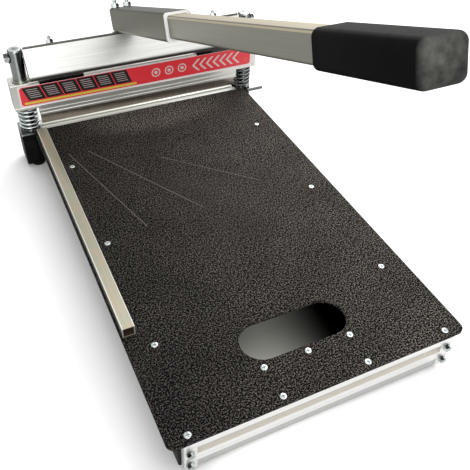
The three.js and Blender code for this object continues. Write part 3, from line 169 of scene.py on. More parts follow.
def circle(steps):
    """Angles round one full turn."""
    return np.linspace(0, 2 * np.pi, steps, endpoint=False)


def quarter_turn(steps):
    """Angles over a quarter turn, both ends with them."""
    return np.linspace(0, np.pi / 2, steps)


def rings_of(radius, height, centre):
    """Ring i has the points centre + r (cos t, sin t) at height h_i, for radii r[i, t]."""
    turn = circle(radius.shape[1])
    x = centre[0] + radius * np.cos(turn)
    y = centre[1] + radius * np.sin(turn)
    z = np.broadcast_to(np.asarray(height, float)[:, None], radius.shape)
    return np.stack([x, y, z], -1)


def turned(profile, steps, centre):
    """Rings of a turned piece from a profile of radius and height."""
    profile = np.asarray(profile, float)
    return rings_of(np.repeat(profile[:, :1], steps, 1), profile[:, 1], centre)


def eased(profile, width, steps=3):
    """The same open profile with each inner corner eased by a quadratic curve that starts width away."""
    corners = np.array(profile, float)
    eased_points = [corners[0]]
    s = np.linspace(0, 1, steps + 1)[:, None]
    for before, corner, after in zip(corners, corners[1:], corners[2:]):
        ends = []
        for leg in (before - corner, after - corner):
            reach = min(width, np.linalg.norm(leg) / 2)
            ends.append(corner + leg / np.linalg.norm(leg) * reach)
        eased_points += list((1 - s) ** 2 * ends[0] + 2 * s * (1 - s) * corner + s**2 * ends[1])
    return np.array([*eased_points, corners[-1]])


def hexagon_radius(flats, turn):
    """Distance from a hexagon's middle to its side at an angle.

    It is half the flats over the cosine of the angle to the nearest flat.
    """
    return flats / 2 / np.cos((turn + np.pi / 6) % (np.pi / 3) - np.pi / 6)


def rounded_rectangle(width, height, radius):
    """Ring of points on a rectangle whose corners are quarter circles, each about its own middle."""
    ring = []
    for i, (sx, sy) in enumerate([(1, 1), (-1, 1), (-1, -1), (1, -1)]):
        angle = quarter_turn(9) + i * np.pi / 2
        x = sx * (width / 2 - radius) + radius * np.cos(angle)
        y = sy * (height / 2 - radius) + radius * np.sin(angle)
        ring.append(np.column_stack([x, y]))
    return np.vstack(ring)


def section(size, inset, corner):
    """Rounded outline of a bar across its length, moved inwards by the inset."""
    return rounded_rectangle(size[0] - 2 * inset, size[2] - 2 * inset, corner)


def outline_at(outline, along, middle=(0.0, 0.0, 0.0)):
    """An outline across the first and third axis, moved to a middle and to a place along the second axis."""
    places = np.broadcast_to(along, len(outline))
    return np.column_stack([outline[:, 0] + middle[0], places, outline[:, 1] + middle[2]])


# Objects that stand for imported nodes

CREASE = 32.0  # degrees over which two faces meet in a sharp edge
FLAT = 0.6  # degrees under which two faces become one


def new_mesh(name, points, faces):
    """A mesh from points and faces."""
    mesh = bpy.data.meshes.new(name)
    mesh.from_pydata(points.tolist(), [], faces)
    return mesh


def link(name, mesh, finish, body, nodes):
    """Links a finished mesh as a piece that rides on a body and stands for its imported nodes."""
    mesh.materials.append(finish)
    piece = bpy.data.objects.new(name, mesh)
    bpy.context.scene.collection.objects.link(piece)
    if nodes:
        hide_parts(*nodes)
    if body:
        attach(piece, body)
    return piece


def surface_piece(node, surface, finish, axes=None, crease=CREASE, ride=True):
    """A smooth piece from points and faces made along its own axes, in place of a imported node."""
    points, faces = surface
    if axes is not None:
        points = points @ axes.T
    name = node + "_fine"
    mesh = new_mesh(name, points, faces)
    mesh.validate()
    mesh.shade_smooth()
    mesh.set_sharp_from_angle(angle=math.radians(crease))
    return link(name, mesh, finish, BODY_OF[node] if ride else None, [node])


def turned_piece(node, finish, profile, ease, centre, axes=None, loop=False):
    """A piece turned from a profile of radius and height whose corners are eased."""
    rings = turned(eased(profile, ease), bpy.context.scene.cutter_sizes.steps, centre)
    return surface_piece(node, skin(rings, loop), finish, axes)


def softened_copy(node, finish, width, segments=2, merge=0.2 * MM):
    """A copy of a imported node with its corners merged, its flat faces whole and its edges rounded."""
    name = node + "_fine"
    work = bmesh.new()
    work.from_mesh(frame["nodes"][node].data)
    bmesh.ops.remove_doubles(work, verts=work.verts, dist=merge)
    bmesh.ops.dissolve_limit(work, angle_limit=math.radians(FLAT), verts=work.verts, edges=work.edges)
    mesh = bpy.data.meshes.new(name)
    work.to_mesh(mesh)
    work.free()
    mesh.materials.clear()
    mesh.shade_smooth()
    piece = link(name, mesh, finish, BODY_OF[node], [node])
    bevel = piece.modifiers.new("Rounded edges", "BEVEL")
    bevel.width = width
    bevel.segments = segments
    bevel.limit_method = "ANGLE"
    bevel.angle_limit = math.radians(CREASE)
    bevel.harden_normals = True
    return piece


# Values kept on the surface for the finishes: painted light and shade

SQUARE = 0.95  # least cosine at which a face counts as square to an axis
FACING = 0.9  # least cosine at which a face counts as facing along an axis
GROOVE = (0.4 * MM, 6 * MM)  # how far behind the front the floors of the grooves lie


def keep_values(piece, name, domain, values):
    """Stores one number from 0 to 1 for each point or face of a piece."""
    layer = piece.data.attributes.new(name, "FLOAT", domain)
    layer.data.foreach_set("value", np.clip(values, 0, 1).astype(np.float32))
    return piece


def mark_ends(piece, axis):
    """Marks the faces square to an axis, where an extrusion was cut off, for a painted shade."""
    across = np.abs(mesh_rows(piece.data.polygons, "normal")[:, "xyz".index(axis)])
    return keep_values(piece, "cut_end", "FACE", across > SQUARE)


def mark_recess(piece, front):
    """Marks the floors of the grooves behind the front, which look forward, for a painted shade, and the ledges
    below them, which look up, for a painted light.
    """
    faces = piece.data.polygons
    normals, depth = mesh_rows(faces, "normal"), mesh_rows(faces, "center")[:, 1] - front
    nearest, farthest = GROOVE
    recess = (depth > nearest) & (depth < farthest) & (normals[:, 1] < -FACING)
    keep_values(piece, "recess", "FACE", recess)
    keep_values(piece, "ledge", "FACE", (depth > MM) & (depth < farthest) & (normals[:, 2] > FACING))


def mark_fence(piece, low, high):
    """Marks the inner faces of the fence and its outer side, by where each face lies, for a painted shade."""
    faces = piece.data.polygons
    normals, centre = mesh_rows(faces, "normal"), mesh_rows(faces, "center")
    across = centre[:, [0, 2]]
    within = (across > np.array([low.x, low.z]) + MM) & (across < np.array([high.x, high.z]) - MM)
    keep_values(piece, "inside", "FACE", within.all(1) & (np.abs(normals[:, 1]) < FACING))
    keep_values(piece, "outer_side", "FACE", (normals[:, 0] < -FACING) & (centre[:, 0] < low.x + MM))


def mark_facets(piece, axes=None, top=0.8, middle=0.47, swing=0.5, phase=0.5):
    """Gives the flats of a piece a painted reflection, light and dark in turn, by the cosine of three times
    their angle.
    """
    normals = mesh_rows(piece.data.polygons, "normal", axes)
    outward = np.hypot(normals[:, 0], normals[:, 1])
    angle = np.arctan2(normals[:, 1], normals[:, 0])
    level = outward * (middle + swing * np.cos(3 * angle + phase)) + (1 - outward) * top
    return keep_values(piece, "sheen", "FACE", level)


# Angle, width and strength of each band of painted light or dark along a drawn rod, in degrees
BANDS = [(-95, 9, 0.48), (-42, 30, -0.21), (175, 14, -0.14), (75, 18, 0.45), (125, 22, -0.15)]
BETWEEN_BANDS = 0.22


def mark_bands(piece, axes, centre, top, rim_width=0.8 * MM, rim_sheen=0.8):
    """Painted reflections in light and dark bands along a drawn rod: a sum of bell curves of the angle round
    its axis.

    The flat top and the rim round it have a painted sheen of their own.
    """
    points = mesh_rows(piece.data.vertices, "co", axes)
    across = points[:, :2] - centre
    angle = np.degrees(np.arctan2(across[:, 1], across[:, 0]))
    level = np.full(len(points), BETWEEN_BANDS)
    for middle, width, height in BANDS:
        level += height * np.exp(-((((angle - middle + 180) % 360 - 180) / width) ** 2))
    radius = np.hypot(across[:, 0], across[:, 1])
    highest = points[:, 2] > points[:, 2].max() - 0.3 * MM
    level[highest] = top
    level[highest & (radius > radius[highest].max() - rim_width)] = rim_sheen
    return keep_values(piece, "sheen", "POINT", np.clip(level, 0.01, 1))


# Shader maths


def math_method(operation, reflected=False):
    """A method that adds one Math node over its value and the other one, in turned order where reflected."""

    def method(self, *others):
        values = (*others, self) if reflected else (self, *others)
        return self.nodes.math(operation, *values)

    return method


class Amount:
    """A value in a node tree. Its operators add Math nodes, so shader maths reads as plain expressions."""

    __add__ = __radd__ = math_method("ADD")
    __sub__, __rsub__ = math_method("SUBTRACT"), math_method("SUBTRACT", reflected=True)
    __mul__ = __rmul__ = math_method("MULTIPLY")
    __abs__ = math_method("ABSOLUTE")
    above, below = math_method("GREATER_THAN"), math_method("LESS_THAN")  # 1 past a limit, and 0 elsewhere
    repeat = math_method("FLOORED_MODULO")  # place within a pattern that repeats after a length
    larger = math_method("MAXIMUM")

    def __init__(self, nodes, socket):
        self.nodes = nodes
        self.socket = socket

    def between(self, low, high):
        """1 where the value lies between two limits."""
        return self.above(low) * self.below(high)

    def smooth(self, low, high):
        """Rises smoothly from 0 at low to 1 at high."""
        inputs = {"Value": self, "From Min": low, "From Max": high}
        node = self.nodes.node("ShaderNodeMapRange", {"interpolation_type": "SMOOTHSTEP"}, inputs)
        return Amount(self.nodes, node.outputs["Result"])

    def plateau(self, low, full, falling, high):
        """Rises smoothly from low to full, and falls again from falling to high."""
        return self.smooth(low, full) * (1.0 - self.smooth(falling, high))


class Nodes:
    """The nodes of a material or of the world."""

    def __init__(self, owner):
        owner.use_nodes = True
        self.tree = owner.node_tree
        self.tree.nodes.clear()

    def node(self, kind, settings=None, inputs=None):
        """Adds a node: its settings first, then the value or link of each socket."""
        made = self.tree.nodes.new(kind)
        for key, value in (settings or {}).items():
            setattr(made, key, value)
        for key, value in (inputs or {}).items():
            value = value.socket if isinstance(value, Amount) else value
            if isinstance(value, bpy.types.NodeSocket):
                self.tree.links.new(value, made.inputs[key])
            else:
                made.inputs[key].default_value = value
        return made

    def math(self, operation, *values):
        """One Math node over one or two values."""
        node = self.node("ShaderNodeMath", {"operation": operation}, dict(enumerate(values)))
        return Amount(self, node.outputs[0])

    def ray(self, kind):
        """1 for rays of one kind, and 0 for the others."""
        return Amount(self, self.node("ShaderNodeLightPath").outputs[f"Is {kind} Ray"])

    def seen(self):
        """1 for what the camera sees, itself or in a mirror or through glass, and 0 for light on others."""
        return self.ray("Camera").larger(self.ray("Glossy")).larger(self.ray("Transmission"))


class Finish(Nodes):
    """A material of one finish, built up node by node on the piece's own coordinates."""

    def __init__(self, name):
        self.material = bpy.data.materials.new(name)
        super().__init__(self.material)
        self.place = self.node("ShaderNodeTexCoord").outputs["Object"]

    def axes(self):
        """The three coordinates of a place."""
        node = self.node("ShaderNodeSeparateXYZ", {}, {0: self.place})
        return [Amount(self, output) for output in node.outputs]

    def stretched(self, scale, turn=0.0):
        """The place, turned about X by an angle in degrees and then scaled along each axis."""
        place = self.place
        for inputs in ({2: (math.radians(turn), 0, 0)}, {3: scale}):
            place = self.node("ShaderNodeMapping", {"vector_type": "POINT"}, {0: place, **inputs}).outputs[0]
        return place

    def noise(self, pattern, place=None):
        """Cloudy noise between 0 and 1, in one of the listed patterns."""
        inputs = {"Vector": place or self.place, **dict(zip(("Scale", "Detail", "Roughness"), pattern))}
        return Amount(self, self.node("ShaderNodeTexNoise", {}, inputs).outputs[0])

    def kept(self, name):
        """A value stored on the surface, or 0 where there is none."""
        return Amount(self, self.node("ShaderNodeAttribute", {"attribute_name": name}).outputs["Fac"])

    def blend(self, mask, first, second):
        """First colour where the mask is 0, second where it is 1."""
        settings = {"data_type": "RGBA", "clamp_factor": True}
        return self.node("ShaderNodeMix", settings, {0: mask, 6: first, 7: second}).outputs[2]

    def tinted(self, shade, **tints):
        """The shade with each tint over it where the value of that name is kept on the surface."""
        for name, tint in tints.items():
            shade = self.blend(self.kept(name), shade, tint)
        return shade

    def bump(self, height, strength, distance):
        """Normal of a surface whose relief is the height times the distance."""
        inputs = {"Height": height, "Strength": strength, "Distance": distance}
        return self.node("ShaderNodeBump", {}, inputs).outputs[0]

    def done(self, **inputs):
        """Closes the material with one Principled shader. Underscores stand for the spaces in socket names."""
        values = {key.replace("_", " ").title().replace("Ior", "IOR"): value for key, value in inputs.items()}
        shader = self.node("ShaderNodeBsdfPrincipled", {}, values)
        self.node("ShaderNodeOutputMaterial", {}, {0: shader.outputs[0]})
        return self.material


def linear(colour):
    """Scene-linear colour with alpha of a display colour."""
    return tuple(c / 12.92 if c <= 0.04045 else ((c + 0.055) / 1.055) ** 2.4 for c in colour) + (1.0,)


def tone(colour, factor):
    """A colour made lighter or darker, its alpha kept."""
    return tuple(min(c * factor, 1.0) for c in colour[:3]) + (1.0,)


# Finishes of this cutter

SCRIBED_LINES = [  # ends of the angle guides on the board, in millimetres
    ((-158.4, -91.4), (-100.5, -301.4)),
    ((-127.5, -93.7), (-11.1, -294.2)),
    ((-23.5, -154.9), (97.0, -269.6)),
]
SCRIBED_HALF_WIDTH = 0.45 * MM
REFLECTED_GLOW = ((0.01, 0.14), (-0.02, 0.06))  # middle and reach of the ellipse of painted reflection on the board near the anvil, along X and Y
BARE, SCRIBED, SPECK = 0.02, 13.0, 21.0  # tones of the board's colour: bare coat, scribed lines and painted highlight specks
ALONG = {"x": (9.0, 900.0, 900.0), "y": (900.0, 9.0, 900.0)}  # stretch of streaks that run along an axis
STREAK_DEPTH = 0.02 * MM

# Scale, detail and roughness of each noise
STREAKS = (1.0, 3.0, 0.6)
PEBBLES, FINE_PEBBLES, SPECK_PATCHES = (540.0, 2.0, 0.6), (1300.0, 1.0, 0.5), (14.0, 2.0, 0.5)
GLOSS_PATCHES, BLOTCHES, PLATE_CLOUDS = (22.0, 2.0, 0.5), (60.0, 2.0, 0.6), (260.0, 3.0, 0.6)
SLOW_SHADES, MOTTLE = (30.0, 2.0, 0.5), (90.0, 3.0, 0.6)
PRINT_FADE, FLOOR_CLOUDS = (60.0, 3.0, 0.6), (3.0, 2.0, 0.5)

DISPLAY_TINTS = {
    # painted shade on the floors of the crossbar's grooves
    "groove": (0.78, 0.78, 0.765),
    # painted light on the upward ledges in the crossbar's grooves
    "ledge": (0.97, 0.94, 0.905),
    # painted highlight on the top and upper corners of the inner tube
    "cream_highlight": (0.86, 0.80, 0.66),
    # painted light on the grip's outer end
    "lit_end": (0.9, 0.9, 0.86),
    "fence blotch": (0.70, 0.63, 0.55),
    # painted highlight on the fence's long edges
    "fence edge": (0.93, 0.93, 0.90),
    # painted shade inside the fence
    "fence inside": (0.34, 0.29, 0.23),
    # painted shade on the fence's outer side
    "fence outer side": (0.10, 0.10, 0.10),
    "decal dark": (0.13, 0.12, 0.13),
    "decal pale": (0.93, 0.86, 0.84),
    "decal yellow": (0.93, 0.83, 0.33),
    "decal rim": (0.98, 0.93, 0.93),
    "floor": (0.90, 0.90, 0.90),
    "floor cloud": (0.92, 0.92, 0.92),
    "outer shadow": (0.97, 0.97, 0.93),
    "inner shadow": (0.0, 0.0, 0.0),
}
TINTS = {name: linear(colour) for name, colour in DISPLAY_TINTS.items()}


def scribed_mask(x, y):
    """1 on the scribed lines: near to each line and between its ends."""
    total = None
    for line in SCRIBED_LINES:
        start, end = (np.array(point) * MM for point in line)
        length = float(np.linalg.norm(end - start))
        (x0, y0), (ux, uy) = start.tolist(), ((end - start) / length).tolist()
        along = (x - x0) * ux + (y - y0) * uy
        across = (x - x0) * uy - (y - y0) * ux
        mask = abs(across).below(SCRIBED_HALF_WIDTH) * along.between(0.0, length)
        total = mask if total is None else total.larger(mask)
    return total


def board_coat(colours):
    """Black coat with a pebbled, leathery skin, painted highlights on its high spots and scribed angle lines.
    """
    finish = Finish("board_coat")
    base = linear(colours.board)
    x, y, _ = finish.axes()
    pebbles, fine, patches = (finish.noise(pattern) for pattern in (PEBBLES, FINE_PEBBLES, SPECK_PATCHES))
    relief = pebbles * 0.75 + fine * 0.25
    # painted reflection: a bright ellipse near the anvil that lights up the specks
    across, along = ((place - middle) * (1 / reach) for place, (middle, reach) in zip((x, y), REFLECTED_GLOW))
    reflected_glow = 1.0 - (across * across + along * along).smooth(0.0, 1.3)
    # painted light: the specks grow lighter towards the right
    side_light = 0.48 + x.smooth(-0.22, 0.2) * 0.55
    lightness = (0.35 + patches * 0.45) * side_light + reflected_glow * 0.7
    # painted highlights on the high spots of the relief
    specks = relief.smooth(0.52, 0.565) * lightness
    scribed = scribed_mask(x, y)
    shade = finish.blend(specks, tone(base, BARE), tone(base, SPECK))
    shade = finish.blend(scribed * 0.85, shade, tone(base, SCRIBED))
    normal = finish.bump(relief - scribed * 0.5, 0.9, 1.2 * MM)
    return finish.done(base_color=shade, roughness=0.55 + fine * 0.2, normal=normal, specular_ior_level=0.04)


def streaked(finish, colour, scale, turn, contrast):
    """Long streaks, and the colour that they make lighter and darker by the contrast."""
    streaks = finish.noise(STREAKS, finish.stretched(scale, turn))
    base = linear(colour)
    shade = finish.blend(streaks.smooth(0.25, 0.75), tone(base, 1 - contrast), tone(base, 1 + contrast))
    return streaks, shade


def brushed(
    name, colour, scale, turn=0.0, metallic=1.0, roughness=0.3,
    contrast=0.12, ends=0.7, specular=0.5, ledge="ledge",
):
    """Metal brushed along its length: long streaks in its colour, gloss and relief, with painted shade and
    light where kept on the surface.
    """
    finish = Finish(name)
    streaks, shade = streaked(finish, colour, scale, turn, contrast)
    # painted shade: a darker tone of the colour, by the factor ends
    cut_end = tone(linear(colour), ends)
    # painted shade on cut ends, other shaded faces and groove floors, and painted light on upward faces
    shade = finish.tinted(shade, cut_end=cut_end, recess=TINTS["groove"], ledge=TINTS[ledge])
    rough = roughness - 0.06 + streaks * 0.1 + finish.noise(GLOSS_PATCHES) * 0.05
    normal = finish.bump(streaks, 0.35, STREAK_DEPTH)
    return finish.done(
        base_color=shade, metallic=metallic, roughness=rough, normal=normal, specular_ior_level=specular
    )


def fence_metal(colours):
    """Aluminium of the fence: warm blotches, a painted highlight on its long edges, a painted shade on its
    outer side and a brown painted shade inside.
    """
    finish = Finish("fence_metal")
    low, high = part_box("fence")
    streaks, shade = streaked(finish, colours.fence, ALONG["y"], 0.0, 0.1)
    blotches = finish.noise(BLOTCHES).smooth(0.42, 0.6)
    shade = finish.blend(blotches * 0.6, shade, TINTS["fence blotch"])
    # painted highlight along the long edges
    edges = 1.0 - finish.axes()[0].between(low.x + 1.2 * MM, high.x - 0.9 * MM)
    shade = finish.blend(edges * 0.75, shade, TINTS["fence edge"])
    # painted shade inside the hollow and on the outer side
    shade = finish.tinted(shade, inside=TINTS["fence inside"], outer_side=TINTS["fence outer side"])
    normal = finish.bump(streaks, 0.35, STREAK_DEPTH)
    return finish.done(base_color=shade, metallic=0.5, roughness=0.3 + streaks * 0.1, normal=normal)


def plated(name, colour, roughness=0.16):
    """Bright plating: painted light and dark flats and bands kept on the surface, with faint clouds over them.
    """
    finish = Finish(name)
    clouds = finish.noise(PLATE_CLOUDS)
    base = linear(colour)
    shade = finish.blend(finish.kept("sheen") + (clouds - 0.5) * 0.2, tone(base, 0.03), base)
    normal = finish.bump(clouds, 0.15, 0.05 * MM)
    return finish.done(base_color=shade, metallic=1.0, roughness=roughness + clouds * 0.12, normal=normal)


def moulded(name, colour, roughness, grain=900.0, relief=0.06, lift=1.5, specular=0.5):
    """Moulded plastic or rubber: a fine grain, slow changes of shade and gloss, and a mottled painted light
    where it is kept on the surface.
    """
    finish = Finish(name)
    fine, slow, mottle = (finish.noise(pattern) for pattern in ((grain, 2.0, 0.5), SLOW_SHADES, MOTTLE))
    base = linear(colour)
    shade = finish.blend(slow.smooth(0.3, 0.7), tone(base, 1 / lift), tone(base, lift))
    # painted light, mottled, on the grip's outer end and top, where it is kept on the surface
    shade = finish.blend(finish.kept("painted_light") * (mottle - 0.12) * 0.38, shade, TINTS["lit_end"])
    normal = finish.bump(fine, 0.3, relief * MM)
    rough = roughness - 0.05 + fine * 0.1
    return finish.done(base_color=shade, roughness=rough, normal=normal, specular_ior_level=specular)


def decal_print(colours):
    """Plain printed decal: red ground, pale rim, dark slanted blocks over a yellow band, rings and arrows."""
    finish = Finish("decal_print")
    x, _, z = finish.axes()
    x, z = x * 1000.0, z * 1000.0  # millimetres
    block, rule, ring, arrow = 29.0, 3.6, 24.0, 13.0  # lengths after which the motifs repeat
    centre_x, centre_z, half_width, half_height, corner = 0.2, 65.0, 199.9, 11.6, 5.0
    slanted = x + z * 0.35
    blocks = slanted.repeat(block).between(1.6, block) * slanted.between(-174.0, 0.0) * z.between(56.5, 80.6)
    rules = z.repeat(rule).between(0.0, 1.0) * slanted.repeat(block).between(6.0, 24.0) * z.between(59.0, 78.0)
    band = x.between(-200.0, -12.0) * z.between(50.4, 54.4)
    from_ring, height = (x - ring / 2).repeat(ring) - ring / 2, abs(z - centre_z)
    from_middle = from_ring * from_ring + height * height
    rings = from_middle.between(36.0, 64.0).larger(from_middle.below(9.0)) * x.between(12.0, 84.0)
    chevron = x - height
    arrows = chevron.repeat(arrow).between(0.0, 4.2) * chevron.between(91.0, 182.0) * height.below(11.0)
    past_x, past_z = (abs(x - centre_x) - half_width).larger(0.0), (height - half_height).larger(0.0)
    rim = (past_x * past_x + past_z * past_z).above(corner**2)
    fade = finish.noise(PRINT_FADE)
    shade = linear(colours.decal)
    for mask, tint in (
        (blocks, "dark"),
        (blocks * rules * 0.75, "pale"),
        (band, "yellow"),
        (rings.larger(arrows), "pale"),
        (rim, "rim"),
        (fade.smooth(0.55, 0.9) * 0.12, "pale"),
    ):
        shade = finish.blend(mask, shade, TINTS["decal " + tint])
    return finish.done(base_color=shade, roughness=0.3 + fade * 0.1)


# Sizes and colours


def colour_property(name, description, default):
    """A display colour that can be changed in the panel."""
    return FloatVectorProperty(
        name=name, description=description, default=default, size=3, min=0.0, max=1.0, subtype="COLOR_GAMMA"
    )


def length_property(name, description, default):
    """A length in metres that can be changed in the panel."""
    return FloatProperty(
        name=name, description=description, default=default, min=0.0, subtype="DISTANCE", unit="LENGTH"
    )


class CutterSizes(bpy.types.PropertyGroup):
    """Sizes of the fine pieces."""

    edge: length_property("Edge rounding", "Rounding of the edges of plates and extrusions", 0.4 * MM)
    wire: length_property("Spring wire", "Diameter of the spring wire", 3.5 * MM)
    coil: length_property("Spring diameter", "Outer diameter of the springs", 33.5 * MM)
    turns: FloatProperty(name="Spring turns", description="Turns of a spring", default=5.75, min=3.0, max=12.0)
    steps: IntProperty(name="Round steps", description="Points round a piece", default=64, min=12, max=256)


class CutterColours(bpy.types.PropertyGroup):
    """Display colours of the finishes."""

    board: colour_property("Board", "Black coat of the table board", (0.15, 0.14, 0.13))
    aluminium: colour_property("Aluminium", "Brushed extrusions", (0.87, 0.87, 0.84))
    bar: colour_property("Cam bar", "Bright brushed aluminium of the cam bar", (0.90, 0.90, 0.885))
    front: colour_property("Crossbar", "Bright aluminium of the front crossbar", (0.96, 0.955, 0.945))
    fence: colour_property("Fence", "Aluminium of the fence", (0.64, 0.64, 0.57))
    plating: colour_property("Plating", "Bright zinc plate", (0.91, 0.94, 0.935))
    blade: colour_property("Blade", "Ground steel of the blade", (0.60, 0.56, 0.52))
    strip: colour_property("Strip", "Dark steel of the cam strip and the saddle", (0.34, 0.34, 0.32))
    handle: colour_property("Handle", "Satin steel of the inner tube", (0.535, 0.53, 0.49))
    socket: colour_property("Socket", "Satin steel of the socket", (0.37, 0.37, 0.315))
    legs: colour_property("Legs", "Black paint of the legs", (0.055, 0.057, 0.06))
    rubber: colour_property("Rubber", "Black rubber of the grip and feet", (0.036, 0.036, 0.038))
    pads: colour_property("Pads", "Glossy black of the wear pads", (0.03, 0.03, 0.033))
    liner: colour_property("Liner", "White of the socket liner", (0.99, 0.99, 0.985))
    bronze: colour_property("Bushings", "Bronze of the post bushings", (0.90, 0.89, 0.83))
    decal: colour_property("Decal", "Red ground of the decal on the beam", (0.97, 0.24, 0.28))


def aluminium(axis, colour="aluminium", **gloss):
    """Brushed aluminium whose streaks run along X or Y, in one of the chosen colours. Made once for each."""
    name = f"brushed_{colour}_{axis}"
    written = getattr(bpy.context.scene.cutter_colours, colour)
    return bpy.data.materials.get(name) or brushed(name, written, ALONG[axis], **{"metallic": 0.6, **gloss})


def zinc():
    """Bright zinc plate, made once."""
    colours = bpy.context.scene.cutter_colours
    return bpy.data.materials.get("bright_plating") or plated("bright_plating", colours.plating)


def handle_steel(colour, metallic):
    """Satin steel brushed along the handle, in one of the chosen colours."""
    written = getattr(bpy.context.scene.cutter_colours, colour)
    # the ends factor tones the painted shade on the socket's top and the tube's corner line, and the cream tint
    # is the painted highlight on the tube's top and corners
    gloss = {"roughness": 0.42, "contrast": 0.06, "ends": 0.35, "specular": 0.2, "ledge": "cream_highlight"}
    return brushed(colour + "_steel", written, (700.0, 8.0, 700.0), HANDLE_LEAN, metallic, **gloss)


def extrusion(node, axis, width, colour="aluminium", **gloss):
    """A softened copy of a brushed extrusion with its cut ends marked for a painted shade."""
    return mark_ends(softened_copy(node, aluminium(axis, colour, **gloss), width), axis)


# Fasteners and rods

THREAD_PITCH = 1.0 * MM
THREAD_DEPTH = 0.32 * MM
EDGE_OF_TURNED = 0.25 * MM
SHANK_RADIUS = 2 * MM  # of a board screw
HEAD_CONE = (2.0, 1.155, 1.12, 1.075, 1.02, 0.955)  # a head's radii up its cone, as shares of half its flats
HEAD_CONE_HEIGHT = 0.09  # share of the flats

# Kind, size and length of each part in millimetres, from the head's end down. The size is a radius, or the
# distance between the flats, and the last part reaches the other end.
PARTS = {
    "pivot_bolt": [("hexagon", 13.6, 5.3), ("rod", 8.5, 1.2), ("rod", 5.0, 0)],
    "crossbar_bolt": [("hexagon", 8.0, 3.8), ("rod", 5.0, 1.2), ("rod", 2.5, 0)],
    "blade_screw": [("recess", 5.0, 3.0), ("rod", 5.0, 6.0), ("rod", 3.0, 0)],
    "strip_bolt": [("thread", 3.0, 5.5), ("hexagon", 10.0, 4.8), ("rod", 6.2, 1.2), ("rod", 3.0, 0)],
    "socket_bolt": [("thread", 3.5, 5.5), ("hexagon", 11.0, 5.3), ("rod", 6.8, 1.2), ("rod", 3.5, 0)],
}


def bevelled_rod(node, bevel, ease, top_sheen, axes=None):
    """A turned rod in bright plate with a bevel round its upper end and painted reflections in bands."""
    centre, radius, bottom, top = round_box(node, axes)
    profile = [(ON_AXIS, bottom), (radius, bottom), (radius, top - bevel)]
    profile += [(radius - bevel, top), (ON_AXIS, top)]
    mark_bands(turned_piece(node, zinc(), profile, ease, centre, axes), axes, centre, top_sheen)


def fastener_part(kind, size, low, high, turn):
    """Heights and radii of one part of a fastener between two heights.

    rod: a cylinder with eased ends. hexagon: a prism cut by a cone at its upper end.
    thread: the radius falls and rises once a pitch along a helix. recess: a hexagonal well.
    """
    if kind == "rod":
        ease = EDGE_OF_TURNED
        heights = [low, low + ease, high - ease, high]
        radii = [np.full_like(turn, size - ease * (i in (0, 3))) for i in range(4)]
    elif kind == "hexagon":
        side = hexagon_radius(size, turn)
        heights = [low] + np.linspace(high - size * HEAD_CONE_HEIGHT, high, len(HEAD_CONE) - 1).tolist()
        radii = [np.minimum(side, size / 2 * share) for share in HEAD_CONE]
    elif kind == "thread":
        heights = np.arange(low, high, THREAD_PITCH / 6).tolist() + [high]
        radii = []
        for height in heights:
            phase = (height / THREAD_PITCH - turn / (2 * np.pi)) % 1.0
            tip = max(0.0, (height - high) / MM + 0.8) * 0.9 * MM
            radii.append(size - THREAD_DEPTH * 2 * np.abs(phase - 0.5) - tip)
    else:
        heights = [high, low]
        radii = [hexagon_radius(size, turn)] * 2
    return heights, radii


def fastener(node, direction, steps=48, **facets):
    """A bolt, nut or stud made of its listed parts, stacked along its axis."""
    axes = own_axes(direction)
    centre, _, lowest, top = round_box(node, axes)
    turn = circle(steps)
    rows = []
    for kind, size, length in PARTS[node.rsplit("_", 1)[0]]:
        bottom = top - length * MM if length else lowest
        heights, radii = fastener_part(kind, size * MM, bottom, top, turn)
        rows = [*zip(heights, radii), *rows]
        top = top if kind == "recess" else bottom
    rings = rings_of(np.array([r for _, r in rows]), [h for h, _ in rows], centre)
    mark_facets(surface_piece(node, skin(rings), zinc(), axes), axes, **facets)


def board_screw(node, steps=48):
    """A countersunk screw with a shallow domed head and a cross recess.

    Over the head, height is a dome less the depth of the cross, which fades out along and across each arm.
    """
    centre, head, bottom, rise = round_box(node)
    turn = circle(steps)
    inward = np.linspace(1.0, 0.04, 14)
    under = turned([[SHANK_RADIUS, bottom], [SHANK_RADIUS, SHANK_RADIUS - head], [head, 0.0]], steps, centre)
    top = rings_of(np.outer(inward * head, np.ones(steps)), np.zeros(len(inward)), centre)
    x, y = np.outer(inward, np.cos(turn)), np.outer(inward, np.sin(turn))

    def arm(across, along):
        """One bar of the cross, which fades at its sides and at its ends."""
        sides, ends = (0.17 - np.abs(across)) / 0.09, (0.62 - np.abs(along)) / 0.16
        return np.clip(np.minimum(sides, ends), 0, 1)

    dome = rise * (1 - np.clip(inward - 0.25, 0, 1)[:, None] ** 2 * 1.35)
    top[..., 2] = np.clip(dome, 0.1 * MM, None) - np.maximum(arm(x, y), arm(y, x)) * 1.3 * MM
    points, faces = skin(np.concatenate([under, top]))
    piece = surface_piece(node, (points, faces), zinc(), crease=40.0)
    # painted shade: darker the lower a point lies, in the cross recess and under the head
    keep_values(piece, "sheen", "POINT", 0.62 + (points[:, 2] - rise) / MM * 0.2)


# Operators


class CUTTER_OT_board(bpy.types.Operator):
    """Builds the table board with its coat and its scribed angle lines"""

    bl_idname = "cutter.board"
    bl_label = "Table board"

    def execute(self, context):
        coat = board_coat(context.scene.cutter_colours)
        softened_copy("table_board", coat, context.scene.cutter_sizes.edge * 1.25)
        return {"FINISHED"}


class CUTTER_OT_board_screws(bpy.types.Operator):
    """Builds the countersunk screws of the table board"""

    bl_idname = "cutter.board_screws"
    bl_label = "Board screws"

    def execute(self, context):
        for node in sorted(name for name in frame["nodes"] if name.startswith("board_screw_")):
            board_screw(node)
        return {"FINISHED"}


